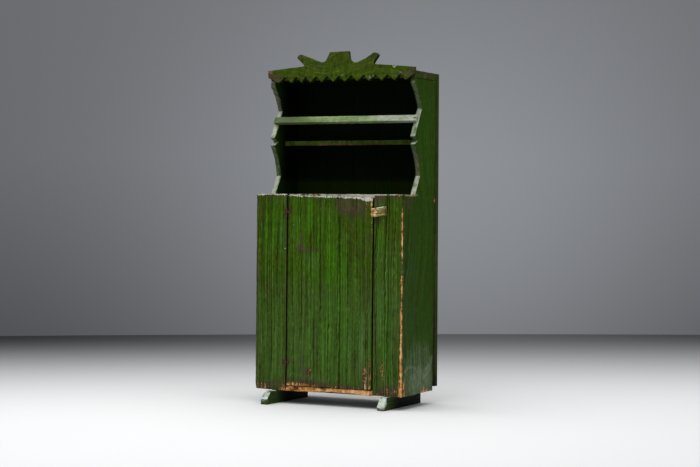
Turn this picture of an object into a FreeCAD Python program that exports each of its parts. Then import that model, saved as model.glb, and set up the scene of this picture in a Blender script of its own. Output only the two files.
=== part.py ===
"""Painted pine cupboard: a door below, an open scalloped rack above, on two sledge runners."""
import FreeCAD, Part
import os
import Sketcher

doc = FreeCAD.newDocument("cupboard")
sheet = doc.addObject("Spreadsheet::Sheet", "Sizes")
nodes = {}

# Every driving size, and every formula of other sizes, under its alias in the sheet
SIZES = {
    # The carcass, in millimetres
    "body_width": 700,
    "side_thickness": 24,
    "front_thickness": 22,
    "back_thickness": 26,
    "side_depth": 304,
    "counter_height": 849,
    "rack_height": 494,
    "roof_thickness": 32,
    "shelf_thickness": 22,
    "counter_thickness": 24,
    "bottom_thickness": 22,
    "back_lift": 21,
    "back_proud_top": 3,
    "back_proud": 11,
    "back_proud_foot": 9,
    "back_widest_height": 424,
    "runner_height": 56,
    "left_reach": 83,
    "right_reach": 42,

    # Stations worked out from the carcass: X to the right, Y to the back, Z up
    "body_depth": "=front_thickness + side_depth + back_thickness",
    "front_face": "=(left_reach - body_depth - nail_head_height) / 2",
    "side_front": "=front_face + front_thickness",
    "side_back": "=side_front + side_depth",
    "back_face": "=side_back + back_thickness",
    "outer_half": "=body_width / 2",
    "inner_half": "=outer_half - side_thickness",
    "side_middle": "=outer_half - side_thickness / 2",
    "counter_top": "=runner_height + counter_height",
    "counter_low": "=counter_top - counter_thickness",
    "side_top": "=counter_top + rack_height",
    "roof_top": "=side_top + roof_thickness",
    "bottom_top": "=runner_height + bottom_thickness",

    # The scalloped front edge of the side boards, set back behind the counter
    "rack_setback": 114,
    "foot_setback": 122,
    "upper_cove_depth": 69,
    "lower_cove_depth": 58,
    "notch_depth": 31,
    "upper_cove_start": 25,
    "upper_cove_height": 101,
    "upper_cove_bow": 9,
    "upper_chamfer_height": 122,
    "notch_height": 32,
    "lower_cove_height": 133,
    "lower_cove_bow": 12,
    "rack_front": "=front_face + rack_setback",
    "rack_foot": "=front_face + foot_setback",
    "upper_cove_back": "=rack_front + upper_cove_depth",
    "lower_cove_back": "=rack_front + lower_cove_depth",
    "upper_bow_back": "=(rack_front + upper_cove_back) / 2 + upper_cove_bow",
    "lower_bow_back": "=(rack_front + lower_cove_back) / 2 + lower_cove_bow",
    "notch_back": "=rack_front + notch_depth",
    "upper_cove_top": "=side_top - upper_cove_start",
    "upper_cove_low": "=upper_cove_top - upper_cove_height",
    "upper_tip": "=upper_cove_low - upper_chamfer_height",
    "notch_middle": "=upper_tip - notch_height / 2",
    "lower_tip": "=upper_tip - notch_height",
    "lower_cove_low": "=lower_tip - lower_cove_height",

    # The rack's shelf, and the cupboard's inner shelf on its two cleats
    "rack_shelf_setback": 86,
    "rack_shelf_height": 236,
    "inner_shelf_fall": 6,
    "cleat_height": 30,
    "cleat_thickness": 20,
    "cleat_inset": 25,
    "rack_shelf_front": "=rack_front + rack_shelf_setback",
    "rack_shelf_top": "=counter_top + rack_shelf_height",
    "inner_shelf_height": "=(upper_batten_height + lower_batten_height) / 2 - inner_shelf_fall",
    "inner_shelf_top": "=runner_height + inner_shelf_height",
    "inner_shelf_low": "=inner_shelf_top - shelf_thickness",

    # The door with its battens, between the two fixed front boards
    "left_stile_width": 149.5,
    "right_stile_width": 133.5,
    "hinge_gap": 4.5,
    "latch_gap": 5.5,
    "sill_gap": 2,
    "door_stop_gap": 1,
    "door_drop_left": 4,
    "door_drop_right": 13,
    "batten_height": 90,
    "batten_thickness": 22,
    "batten_inset": 28,
    "upper_batten_drop": 252,
    "lower_batten_height": 215,
    "upper_batten_height": "=counter_height - upper_batten_drop",
    "left_stile_edge": "=left_stile_width - outer_half",
    "right_stile_edge": "=outer_half - right_stile_width",
    "door_left": "=left_stile_edge + hinge_gap",
    "door_right": "=right_stile_edge - latch_gap",
    "door_width": "=door_right - door_left",
    "door_bottom": "=bottom_top + sill_gap",
    "door_thickness": "=front_thickness - door_stop_gap",
    "door_back": "=front_face + door_thickness",

    # The hinges: a round iron pintle in the fixed board and an eye in the door
    "iron_radius": 2.5,
    "pin_length": 36,
    "eye_radius": 5.2,
    "eye_height": 6,
    "running_gap": 0.1,
    "axial_gap": 0.3,
    "arm_reach": 14,
    "shank_depth": 18,
    "axis_forward": 5.6,
    "upper_hinge_drop": 81,
    "lower_hinge_height": 121,
    "upper_hinge_height": "=counter_height - upper_hinge_drop",
    "hinge_x": "=left_stile_edge + hinge_gap / 2",
    "hinge_y": "=front_face - axis_forward",

    # The turn button on its nail
    "button_length": 62,
    "button_height": 37,
    "button_thickness": 20,
    "button_short_arm": 20,
    "button_gap": 0.6,
    "button_round": 3,
    "button_tilt": 8,
    "pivot_inset": 114,
    "pivot_drop": 75,
    "pivot_radius": 2.2,
    "pivot_head_radius": 5,
    "pivot_head_height": 2,
    "pivot_hold": 19,
    "pivot_x": "=outer_half - pivot_inset",
    "pivot_z": "=counter_top - pivot_drop",
    "button_back": "=front_face - button_gap",
    "button_front": "=button_back - button_thickness",

    # The plate rail that leans on the upper chamfers
    "rail_width": 30,
    "rail_thickness": 20,
    "rail_place": 67,
    "rail_end_inset": 6,
    "rail_lean": "=atan(upper_cove_depth / upper_chamfer_height)",

    # The sawtooth cornice, with its crest of two horns and a crown
    "cornice_overhang": 5,
    "cornice_thickness": 20,
    "tooth_height": 26,
    "tooth_root": 15,
    "wing_height": 31,
    "wing_rise": 16,
    "crest_height": 59,
    "cornice_width": "=body_width + 2 * cornice_overhang",
    "cornice_front": "=rack_front - cornice_thickness",
    "root_level": "=side_top + tooth_root",
    "tip_level": "=root_level - tooth_height",
    "wing_end": "=root_level + wing_height",
    "wing_level": "=wing_end + wing_rise",

    # The sledge runners
    "runner_width": 32,
    "runner_length": 375,
    "left_nose_height": 24,
    "right_nose_height": 17,
    "nose_run": 32,
    "left_runner_inset": 75,
    "right_runner_inset": 60,
    "left_runner_x": "=left_runner_inset - outer_half",
    "right_runner_x": "=outer_half - right_runner_inset - runner_width",

    # Square cut nails
    "nail_size": 3,
    "nail_head": 7,
    "nail_head_height": 1,
    "nail_length": 50,
    "short_nail_length": 38,
    "batten_nail_spread": 26,
}
for row, (alias, entry) in enumerate(SIZES.items(), 1):
    sheet.set("A%d" % row, str(entry))
    sheet.setAlias("A%d" % row, alias)
doc.recompute()

# The body's edges and the joints of the back boards between them, from the left
BACK_JOINT_SHARES = (-0.5, -0.257, -0.065, 0.213, 0.5)

# Tips and notches of the teeth across the cornice, from the left
TIP_SHARES = (-0.425, -0.334, -0.263, -0.204, -0.125, -0.044, 0.032, 0.117, 0.194, 0.280, 0.366, 0.439)
NOTCH_SHARES = (-0.376, -0.299, -0.234, -0.163, -0.085, -0.006, 0.079, 0.163, 0.241, 0.320, 0.403)

# The crest from left to right, as shares of the cornice's width and the crest's height;
# a point with two more shares is reached by an arc through the place that they give
CREST_SHARES = (
    (-0.249, 0.0),
    (-0.249, 0.08),
    (-0.296, 0.59),
    (-0.265, 0.86, -0.290, 0.77),
    (-0.141, 0.29),
    (-0.092, 0.44, -0.118, 0.25),
    (-0.069, 0.97),
    (0.058, 1.0),
    (0.064, 0.46),
    (0.125, 0.21, 0.084, 0.21),
    (0.218, 0.78, 0.176, 0.47),
    (0.259, 0.62, 0.246, 0.79),
    (0.227, 0.07),
    (0.232, 0.0),
)

# Places of nails along the pieces that they hold, as shares of the length
STILE_NAIL_SHARES = (0.07, 0.35, 0.64, 0.93)
SIDE_NAIL_SHARES = (0.12, 0.5, 0.9)
SHELF_NAIL_SHARES = (0.25, 0.7)
CORNICE_NAIL_SHARES = (-0.44, -0.2, 0.02, 0.22, 0.46)
CORNICE_NAIL_RISE_SHARE = 0.75
BATTEN_NAIL_SHARES = (0.12, 0.35, 0.58, 0.86)
BOARD_NAIL_SHARES = (0.25, 0.75)


def bind(item, **formulas):
    """Tie properties of an object to the sheet; two underscores in a name stand for a dot."""
    for name, formula in formulas.items():
        item.setExpression(name.replace("__", "."), formula)


def place(item, x, y, z):
    """Tie the position of an object to the sheet."""
    bind(item, Placement__Base__x=x, Placement__Base__y=y, Placement__Base__z=z)


def keep(label, item):
    """Name a finished sub-part."""
    item.Label = label
    nodes[label] = item
    return item


def sizes(formula):
    """Write a formula of aliases as an expression on the sheet."""
    words = formula.replace("(", " ( ").replace(")", " ) ").split()
    return " ".join("Sizes." + word if word[0].isalpha() and word != "deg" else word for word in words)


def value(formula):
    """Work out a formula of aliases as a plain number."""
    return float(sheet.evalExpression(sizes(formula)))


def board(label, x, y, z):
    """Make a plain sawn board from three pairs of a start and a length, each a formula."""
    box = doc.addObject("Part::Box", label)
    place(box, sizes(x[0]), sizes(y[0]), sizes(z[0]))
    bind(box, Length=sizes(x[1]), Width=sizes(y[1]), Height=sizes(z[1]))
    return keep(label, box)


def pin_point(sketch, geometry, end, across, up):
    """Pin one point of a sketch to two formulas."""
    for kind, formula in (("DistanceX", across), ("DistanceY", up)):
        constraint = Sketcher.Constraint(kind, -1, 1, geometry, end, value(formula))
        index = sketch.addConstraint(constraint)
        sketch.setExpression("Constraints[%d]" % index, sizes(formula))


def turn(item, axis, angle):
    """Tie an object's turn about an axis to a formula that gives degrees."""
    item.Placement.Rotation = FreeCAD.Rotation(axis, value(angle))
    bind(item, Placement__Rotation__Angle=sizes(angle))


def origin_plane(body, role):
    """Find one of a body's own origin planes."""
    return [item for item in body.Origin.OriginFeatures if item.Role == role][0]


def outline(body, plane, offset, corners):
    """Sketch a closed outline on an origin plane; corners of four formulas end an arc."""
    sketch = body.newObject("Sketcher::SketchObject", body.Name + "_outline")
    sketch.AttachmentSupport = (origin_plane(body, plane), "")
    sketch.MapMode = "FlatFace"
    bind(sketch, AttachmentOffset__Base__z=sizes(offset))
    points = [FreeCAD.Vector(value(corner[0]), value(corner[1]), 0) for corner in corners]
    starts = []
    ends = []
    for index, corner in enumerate(corners):
        before = points[index - 1]
        if len(corner) == 4:
            middle = FreeCAD.Vector(value(corner[2]), value(corner[3]), 0)
            edge = sketch.addGeometry(Part.Arc(before, middle, points[index]), False)
            on_arc = sketch.addGeometry(Part.Point(middle), True)
            sketch.addConstraint(Sketcher.Constraint("PointOnObject", on_arc, 1, edge))
            pin_point(sketch, on_arc, 1, corner[2], corner[3])
        else:
            edge = sketch.addGeometry(Part.LineSegment(before, points[index]), False)
        from_first = sketch.getPoint(edge, 1).distanceToPoint(before)
        from_second = sketch.getPoint(edge, 2).distanceToPoint(before)
        start, end = (1, 2) if from_first < from_second else (2, 1)
        starts.append((edge, start))
        ends.append((edge, end))
    for index, corner in enumerate(corners):
        following = starts[(index + 1) % len(corners)]
        sketch.addConstraint(Sketcher.Constraint("Coincident", *ends[index], *following))
        pin_point(sketch, *ends[index], corner[0], corner[1])
    return sketch


def sawn(label, plane, offset, thickness, corners):
    """Cut a board to an outline: a body with one sketch and one pad."""
    body = doc.addObject("PartDesign::Body", label)
    sketch = outline(body, plane, offset, corners)
    pad = body.newObject("PartDesign::Pad", label + "_pad")
    pad.Profile = sketch
    bind(pad, Length=sizes(thickness))
    sketch.Visibility = False
    return keep(label, body)


def round_bar(x, y, z, radius, length, turn_axis=None):
    """Make a round bar that runs up, or along X or Y after a quarter turn."""
    bar = doc.addObject("Part::Cylinder", "bar")
    if turn_axis == "X":
        bar.Placement.Rotation = FreeCAD.Rotation(FreeCAD.Vector(0, 1, 0), 90)
    if turn_axis == "Y":
        bar.Placement.Rotation = FreeCAD.Rotation(FreeCAD.Vector(1, 0, 0), -90)
    place(bar, sizes(x), sizes(y), sizes(z))
    bind(bar, Radius=sizes(radius), Height=sizes(length))
    return bar


def ball(x, y, z, radius):
    """Make the rounded elbow of a bent bar."""
    elbow = doc.addObject("Part::Sphere", "elbow")
    place(elbow, sizes(x), sizes(y), sizes(z))
    bind(elbow, Radius=sizes(radius))
    return elbow


def fuse(label, pieces):
    """Join overlapping shapes into one solid."""
    joined = doc.addObject("Part::MultiFuse", label)
    joined.Shapes = pieces
    return joined


def cut(label, base, tool):
    """Take one shape out of another."""
    result = doc.addObject("Part::Cut", label)
    result.Base = base
    result.Tool = tool
    return result


NAIL_TURNS = {
    "left": FreeCAD.Rotation(FreeCAD.Vector(0, 1, 0), -90),
    "right": FreeCAD.Rotation(FreeCAD.Vector(0, 1, 0), 90),
    "back": FreeCAD.Rotation(FreeCAD.Vector(1, 0, 0), -90),
    "front": FreeCAD.Rotation(FreeCAD.Vector(1, 0, 0), 90),
    "down": FreeCAD.Rotation(FreeCAD.Vector(1, 0, 0), 180),
}


def nail(direction, x, y, z, length="nail_length"):
    """Make one square cut nail whose head stands on the surface at a place."""
    shank = doc.addObject("Part::Box", "shank")
    place(shank, sizes("0 - nail_size / 2"), sizes("0 - nail_size / 2"), "0")
    bind(shank, Length=sizes("nail_size"), Width=sizes("nail_size"), Height=sizes(length))
    head = doc.addObject("Part::Box", "head")
    place(head, sizes("0 - nail_head / 2"), sizes("0 - nail_head / 2"), sizes("0 - nail_head_height"))
    bind(head, Length=sizes("nail_head"), Width=sizes("nail_head"), Height=sizes("nail_head_height"))
    whole = fuse("nail", [shank, head])
    whole.Placement.Rotation = NAIL_TURNS[direction]
    place(whole, sizes(x), sizes(y), sizes(z))
    return whole


def nails(label, items):
    """Keep nails that are alike as one group of separate solids."""
    group = doc.addObject("Part::Compound", label)
    group.Links = items
    return keep(label, group)


def share_of(start, length, share):
    """Write the formula of a place part of the way along a length."""
    return "%s + %s * %s" % (start, length, share)


def make_sides():
    """Cut the two side boards, full height and depth, stepped at the counter and scalloped."""
    edge = [
        ("side_front", "runner_height"),
        ("side_back", "runner_height"),
        ("side_back", "side_top"),
        ("rack_front", "side_top"),
        ("rack_front", "upper_cove_top"),
        ("upper_cove_back", "upper_cove_low", "upper_bow_back", "( upper_cove_top + upper_cove_low ) / 2"),
        ("rack_front", "upper_tip"),
        ("notch_back", "notch_middle"),
        ("rack_front", "lower_tip"),
        ("lower_cove_back", "lower_cove_low", "lower_bow_back", "( lower_tip + lower_cove_low ) / 2"),
        ("rack_foot", "counter_top"),
        ("side_front", "counter_top"),
    ]
    sawn("left_side", "YZ_Plane", "0 - outer_half", "side_thickness", edge)
    sawn("right_side", "YZ_Plane", "inner_half", "side_thickness", edge)


def make_back():
    """Set four upright boards on the back edges; the outer two stand proud of the sides."""
    foot = "runner_height + back_lift"
    joints = ["body_width * %s" % share for share in BACK_JOINT_SHARES]
    for index in (2, 3):
        low, high = joints[index - 1:index + 1]
        board("back_board_%d" % index, (low, "%s - %s" % (high, low)), ("side_back", "back_thickness"),
              (foot, "roof_top - runner_height - back_lift"))
    for label, joint, sign in (("back_board_1", joints[1], -1), ("back_board_4", joints[-2], 1)):
        sawn(label, "XZ_Plane", "0 - back_face", "back_thickness", [
            (joint, foot),
            ("( outer_half + back_proud_foot ) * %d" % sign, foot),
            ("( outer_half + back_proud ) * %d" % sign, "runner_height + back_widest_height"),
            ("( outer_half + back_proud_top ) * %d" % sign, "roof_top"),
            (joint, "roof_top"),
        ])


def make_shelves():
    """Fit the counter, the floor with its sill, the inner shelf on cleats and the rack's shelf."""
    across = ("0 - inner_half", "inner_half * 2")
    board("counter_board", across, ("side_front", "side_depth"), ("counter_low", "counter_thickness"))
    board("inner_shelf", across, ("side_front", "side_depth"), ("inner_shelf_low", "shelf_thickness"))
    board("rack_shelf", across, ("rack_shelf_front", "side_back - rack_shelf_front"),
          ("rack_shelf_top - shelf_thickness", "shelf_thickness"))
    sawn("bottom_board", "XY_Plane", "runner_height", "bottom_thickness", [
        ("0 - inner_half", "side_back"),
        ("0 - inner_half", "side_front"),
        ("left_stile_edge", "side_front"),
        ("left_stile_edge", "front_face"),
        ("right_stile_edge", "front_face"),
        ("right_stile_edge", "side_front"),
        ("inner_half", "side_front"),
        ("inner_half", "side_back"),
    ])
    depth = ("side_front + cleat_inset", "side_depth - 2 * cleat_inset")
    height = ("inner_shelf_low - cleat_height", "cleat_height")
    board("left_cleat", ("0 - inner_half", "cleat_thickness"), depth, height)
    board("right_cleat", ("inner_half - cleat_thickness", "cleat_thickness"), depth, height)


def make_front():
    """Stand the two fixed front boards on the side boards' front edges."""
    depth = ("front_face", "front_thickness")
    height = ("runner_height", "counter_height")
    board("left_stile", ("0 - outer_half", "left_stile_width"), depth, height)
    board("right_stile", ("right_stile_edge", "right_stile_width"), depth, height)


def make_door():
    """Cut the one-board door, worn lower at the latch side, and its two battens."""
    sawn("door_board", "XZ_Plane", "0 - door_back", "door_thickness", [
        ("door_left", "door_bottom"),
        ("door_right", "door_bottom"),
        ("door_right", "counter_top - door_drop_right"),
        ("door_left", "counter_top - door_drop_left"),
    ])
    across = ("door_left + batten_inset", "door_width - 2 * batten_inset")
    for level in ("upper", "lower"):
        start = "runner_height + %s_batten_height - batten_height / 2" % level
        board(level + "_batten", across, ("door_back", "batten_thickness"), (start, "batten_height"))


def make_hinge(level):
    """Bend one pintle for the fixed board and one eye for the door."""
    height = "( runner_height + %s_hinge_height )" % level
    arm = height + " - axial_gap / 2 - iron_radius"
    shank = "axis_forward + shank_depth"
    elbow_x = "hinge_x - arm_reach"
    pintle = fuse(level + "_pintle", [
        round_bar("hinge_x", "hinge_y", height + " - pin_length / 2", "iron_radius", "pin_length"),
        round_bar(elbow_x, "hinge_y", arm, "iron_radius", "arm_reach", "X"),
        ball(elbow_x, "hinge_y", arm, "iron_radius"),
        round_bar(elbow_x, "hinge_y", arm, "iron_radius", shank, "Y"),
    ])
    keep(level + "_hinge_pintle", pintle)
    ring_low = height + " + axial_gap / 2"
    middle = ring_low + " + eye_height / 2"
    elbow_x = "hinge_x + arm_reach"
    solid = fuse(level + "_eye_bar", [
        round_bar("hinge_x", "hinge_y", ring_low, "eye_radius", "eye_height"),
        round_bar("hinge_x", "hinge_y", middle, "iron_radius", "arm_reach", "X"),
        ball(elbow_x, "hinge_y", middle, "iron_radius"),
        round_bar(elbow_x, "hinge_y", middle, "iron_radius", shank, "Y"),
    ])
    bore = round_bar("hinge_x", "hinge_y", height, "iron_radius + running_gap", "2 * eye_height")
    keep(level + "_hinge_eye", cut(level + "_eye", solid, bore))


def make_button():
    """Whittle the turn button, with rounded front edges, and drive its nail."""
    body = sawn("turn_button", "XZ_Plane", "0", "button_thickness", [
        ("0 - button_short_arm", "0 - button_height / 2"),
        ("button_length - button_short_arm", "0 - button_height / 2"),
        ("button_length - button_short_arm", "button_height / 2"),
        ("0 - button_short_arm", "button_height / 2"),
    ])
    doc.recompute()
    pad = body.Tip
    fillet = body.newObject("PartDesign::Fillet", "button_worn_edges")
    middle = value("0 - button_thickness / 2")
    front = [number for number, edge in enumerate(pad.Shape.Edges, 1) if edge.BoundBox.YMax < middle]
    fillet.Base = (pad, ["Edge%d" % number for number in front])
    bind(fillet, Radius=sizes("button_round"))
    hole = body.newObject("Sketcher::SketchObject", "button_hole")
    hole.AttachmentSupport = (origin_plane(body, "XZ_Plane"), "")
    hole.MapMode = "FlatFace"
    radius = value("pivot_radius + running_gap")
    ring = Part.Circle(FreeCAD.Vector(0, 0, 0), FreeCAD.Vector(0, 0, 1), radius)
    circle = hole.addGeometry(ring, False)
    hole.addConstraint(Sketcher.Constraint("Coincident", circle, 3, -1, 1))
    index = hole.addConstraint(Sketcher.Constraint("Radius", circle, radius))
    hole.setExpression("Constraints[%d]" % index, sizes("pivot_radius + running_gap"))
    pocket = body.newObject("PartDesign::Pocket", "button_bore")
    pocket.Profile = hole
    pocket.Type = "ThroughAll"
    pocket.Reversed = True
    doc.recompute()
    turn(body, FreeCAD.Vector(0, -1, 0), "button_tilt * 1 deg")
    place(body, sizes("pivot_x"), sizes("button_back"), sizes("pivot_z"))
    shank = "button_gap + button_thickness + axial_gap + pivot_hold"
    head = "button_front - axial_gap - pivot_head_height"
    keep("button_nail", fuse("pivot", [
        round_bar("pivot_x", "button_front - axial_gap", "pivot_z", "pivot_radius", shank, "Y"),
        round_bar("pivot_x", head, "pivot_z", "pivot_head_radius", "pivot_head_height", "Y"),
    ]))


def on_rail(along):
    """Write where the leaning rail's outer face is, this far up the chamfer from its tip."""
    lean = "Sizes.rail_lean"
    up = sizes(along)
    y = "Sizes.rack_front + (%s) * sin(%s) - Sizes.rail_thickness * cos(%s)" % (up, lean, lean)
    z = "Sizes.upper_tip + (%s) * cos(%s) + Sizes.rail_thickness * sin(%s)" % (up, lean, lean)
    return y, z


def make_rack():
    """Lay the roof board, and lean the plate rail on the upper chamfers."""
    board("roof_board", ("0 - outer_half", "body_width"), ("rack_front", "side_back - rack_front"),
          ("side_top", "roof_thickness"))
    rail = doc.addObject("Part::Box", "rail")
    bind(rail, Length=sizes("body_width - 2 * rail_end_inset"), Width=sizes("rail_thickness"),
         Height=sizes("rail_width"))
    turn(rail, FreeCAD.Vector(-1, 0, 0), "rail_lean")
    y, z = on_rail("rail_place")
    place(rail, sizes("rail_end_inset - outer_half"), y, z)
    keep("plate_rail", rail)


def make_cornice():
    """Saw the cornice: a row of teeth below, and two horns beside a crown above."""
    corners = [("cornice_width / 2", "wing_end"), ("cornice_width / 2", "root_level")]
    for index in reversed(range(len(TIP_SHARES))):
        corners.append(("cornice_width * %s" % TIP_SHARES[index], "tip_level"))
        if index:
            corners.append(("cornice_width * %s" % NOTCH_SHARES[index - 1], "root_level"))
    corners.append(("0 - cornice_width / 2", "root_level"))
    corners.append(("0 - cornice_width / 2", "wing_end"))
    for shares in CREST_SHARES:
        formulas = []
        for across, up in zip(shares[0::2], shares[1::2]):
            formulas.append("cornice_width * %s" % across)
            formulas.append("wing_level + crest_height * %s" % up)
        corners.append(tuple(formulas))
    sawn("cornice", "XZ_Plane", "0 - rack_front", "cornice_thickness", corners)


def make_runners():
    """Saw the two runners, each with a sloping nose in front."""
    for side in ("left", "right"):
        nose = "front_face - %s_reach" % side
        sawn(side + "_runner", "YZ_Plane", side + "_runner_x", "runner_width", [
            (nose, "0"),
            (nose + " + runner_length", "0"),
            (nose + " + runner_length", "runner_height"),
            (nose + " + nose_run", "runner_height"),
            (nose, side + "_nose_height"),
        ])


def make_nails():
    """Drive the nails, each group through the pieces that it holds."""
    sides = (("right", "0 - outer_half"), ("left", "outer_half"))
    centres = ("0 - side_middle", "side_middle")
    stile = [nail("back", x, "front_face", share_of("runner_height", "counter_height", share))
             for x in centres for share in STILE_NAIL_SHARES]
    nails("stile_nails", stile)
    for label, level in (("counter_nails", "counter_top - counter_thickness / 2"),
                         ("bottom_nails", "bottom_top - bottom_thickness / 2")):
        nails(label, [nail(way, x, share_of("side_front", "side_depth", share), level)
                      for way, x in sides for share in SIDE_NAIL_SHARES])
    depth = "( side_back - rack_shelf_front )"
    level = "rack_shelf_top - shelf_thickness / 2"
    nails("rack_shelf_nails", [nail(way, x, share_of("rack_shelf_front", depth, share), level)
                               for way, x in sides for share in SHELF_NAIL_SHARES])
    inner = (("left", "cleat_thickness - inner_half"), ("right", "inner_half - cleat_thickness"))
    level = "inner_shelf_low - cleat_height / 2"
    nails("cleat_nails", [nail(way, x, share_of("side_front", "side_depth", share), level,
                               "short_nail_length") for way, x in inner for share in SHELF_NAIL_SHARES])
    across = [low + (high - low) * share for low, high in zip(BACK_JOINT_SHARES, BACK_JOINT_SHARES[1:])
              for share in BOARD_NAIL_SHARES]
    levels = ("side_top + roof_thickness / 2", "rack_shelf_top - shelf_thickness / 2",
              "counter_top - counter_thickness / 2", "inner_shelf_top - shelf_thickness / 2")
    nails("back_nails", [nail("front", "body_width * %s" % x, "back_face", z)
                         for z in levels for x in across])
    depth = "( side_back - rack_front )"
    nails("roof_nails", [nail("down", x, share_of("rack_front", depth, share), "roof_top")
                         for x in centres for share in SIDE_NAIL_SHARES])
    level = share_of("side_top", "roof_thickness", CORNICE_NAIL_RISE_SHARE)
    nails("cornice_nails", [nail("back", "cornice_width * %s" % share, "cornice_front", level)
                            for share in CORNICE_NAIL_SHARES])
    battens = []
    for level in ("upper", "lower"):
        for row in ("+", "-"):
            z = "runner_height + %s_batten_height %s batten_nail_spread" % (level, row)
            battens += [nail("back", share_of("door_left", "door_width", share), "front_face", z,
                             "short_nail_length") for share in BATTEN_NAIL_SHARES]
    nails("batten_nails", battens)
    nails("runner_nails", [nail("down", "%s_runner_x + runner_width / 2" % side,
                                share_of("side_front", "side_depth", share), "bottom_top")
                           for side in ("left", "right") for share in SIDE_NAIL_SHARES])
    make_rail_nails(centres)


def make_rail_nails(centres):
    """Drive a nail through each end of the plate rail, square to its leaning face."""
    y, z = on_rail("rail_place + rail_width / 2")
    group = []
    for x in centres:
        item = nail("back", x, "rack_front", "upper_tip")
        turn(item, FreeCAD.Vector(-1, 0, 0), "rail_lean + 90 deg")
        bind(item, Placement__Base__y=y, Placement__Base__z=z)
        group.append(item)
    nails("rail_nails", group)


def write_parts():
    """Check every object, then write each sub-part to its own file."""
    doc.recompute()
    for item in doc.Objects:
        if "Invalid" in item.State or "Error" in item.State:
            raise RuntimeError("%s did not build: %s" % (item.Label, item.State))
    for label, item in nodes.items():
        if item.Shape.isNull() or not item.Shape.isValid():
            raise RuntimeError("%s has no valid shape" % label)
    os.makedirs("parts", exist_ok=True)
    for label, item in nodes.items():
        item.Shape.exportStep("parts/%s.step" % label)
        box = item.Shape.BoundBox
        print("%-20s solids %2d volume %10.0f  x %.1f %.1f  y %.1f %.1f  z %.1f %.1f" % (
            label, len(item.Shape.Solids), item.Shape.Volume,
            box.XMin, box.XMax, box.YMin, box.YMax, box.ZMin, box.ZMax))


make_sides()
make_back()
make_shelves()
make_front()
make_door()
make_hinge("upper")
make_hinge("lower")
make_button()
make_rack()
make_cornice()
make_runners()
make_nails()
write_parts()
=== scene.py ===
"""Looks of an old painted pine cupboard: weathered boards, worn paint and rusty irons."""
import logging
import math
import random
from dataclasses import dataclass, replace
from enum import Enum
from typing import Mapping, Sequence

import bmesh
import bpy
import numpy as np
from mathutils import Matrix, Vector


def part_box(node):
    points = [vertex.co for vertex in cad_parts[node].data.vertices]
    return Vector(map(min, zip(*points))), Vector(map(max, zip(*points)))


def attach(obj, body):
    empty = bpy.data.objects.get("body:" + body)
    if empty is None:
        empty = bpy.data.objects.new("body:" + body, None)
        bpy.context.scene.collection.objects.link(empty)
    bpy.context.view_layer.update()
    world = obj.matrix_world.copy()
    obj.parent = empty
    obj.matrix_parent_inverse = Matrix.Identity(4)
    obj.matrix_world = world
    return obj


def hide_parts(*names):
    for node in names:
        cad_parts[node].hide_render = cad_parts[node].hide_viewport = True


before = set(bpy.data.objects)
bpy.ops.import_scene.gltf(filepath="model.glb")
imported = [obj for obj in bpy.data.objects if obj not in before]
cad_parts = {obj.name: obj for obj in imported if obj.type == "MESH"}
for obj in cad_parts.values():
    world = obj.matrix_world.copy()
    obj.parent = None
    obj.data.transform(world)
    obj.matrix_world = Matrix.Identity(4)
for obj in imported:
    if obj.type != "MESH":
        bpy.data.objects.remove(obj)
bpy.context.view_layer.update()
LOG = logging.getLogger("cupboard")

Colour = tuple[float, float, float]
Place = tuple[float, float, float]
Spot = tuple[float, float]
Segments = Sequence[tuple[np.ndarray, np.ndarray]]
Socket = bpy.types.NodeSocket
Groups = Mapping[str, bpy.types.NodeTree]

MERGED = 0.00002  # vertices closer together than this are joined
ON_CUT = 0.00001  # vertices this near to a cutting plane lie on it
FLAT = math.radians(1.0)  # faces that meet at less than this become one
CORNER = math.radians(25)  # faces that meet at more than this have an arris between them
PATCH_RISE = 1.6  # how steeply a patch's strength rises inwards from its rim
SCRAPE_RISE = 1.5  # how steeply a scratch's strength rises towards its middle
RUBBED_REACH = 0.0035  # how far from an arris the paint is rubbed
END_REACH = 0.02  # how far from its end a board is worn back
LEAST_WEAR = 0.0001  # every worn surface lies at least this far inside its node's
SURFACE_WAVES = 0.0003  # depth of the slow waves in every board's surface


# Random shapes


def curve(values: np.ndarray, pitch: float, seed: int) -> np.ndarray:
    """Work out a smooth random curve, mostly between -1 and 1.

    Args:
        values: Places along the curve.
        pitch: Typical length of one wave, in the unit of the places.
        seed: Picks one curve.

    Returns:
        The curve's height at each place.
    """
    draw = random.Random(seed)
    waves = 6
    total = np.zeros(len(values))
    for _ in range(waves):
        turns = draw.uniform(0.5, 1.8) / pitch
        total += np.sin(math.tau * (values * turns + draw.random()))
    return total / math.sqrt(waves)


def cloud(points: np.ndarray, pitch: Place, seed: int) -> np.ndarray:
    """Work out a smooth random field in space, mostly between -1 and 1.

    Args:
        points: One row for each place, in metres.
        pitch: Typical length of a wave along X, Y and Z.
        seed: Picks one field.

    Returns:
        The field's value at each place.
    """
    draw = random.Random(seed)
    waves = 9
    total = np.zeros(len(points))
    for _ in range(waves):
        wave = np.array([draw.gauss(0, 0.8) / length for length in pitch])
        total += np.sin(math.tau * (points @ wave + draw.random()))
    return total / math.sqrt(waves)


def scatter(numbers: np.ndarray, seed: int) -> np.ndarray:
    """Give each whole number its own random share, from 0 to 1."""
    mixed = np.sin(numbers * 12.9898 + seed * 4.1414) * 43758.5453
    return mixed - np.floor(mixed)


# Wear, marked on the boards


class Axis(Enum):
    """A direction of the shared frame."""

    X = 0
    Y = 1
    Z = 2

    def others(self) -> tuple[int, int]:
        """Give the indices of the two axes square to this one."""
        first, second = (index for index in range(3) if index != self.value)
        return first, second


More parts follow.
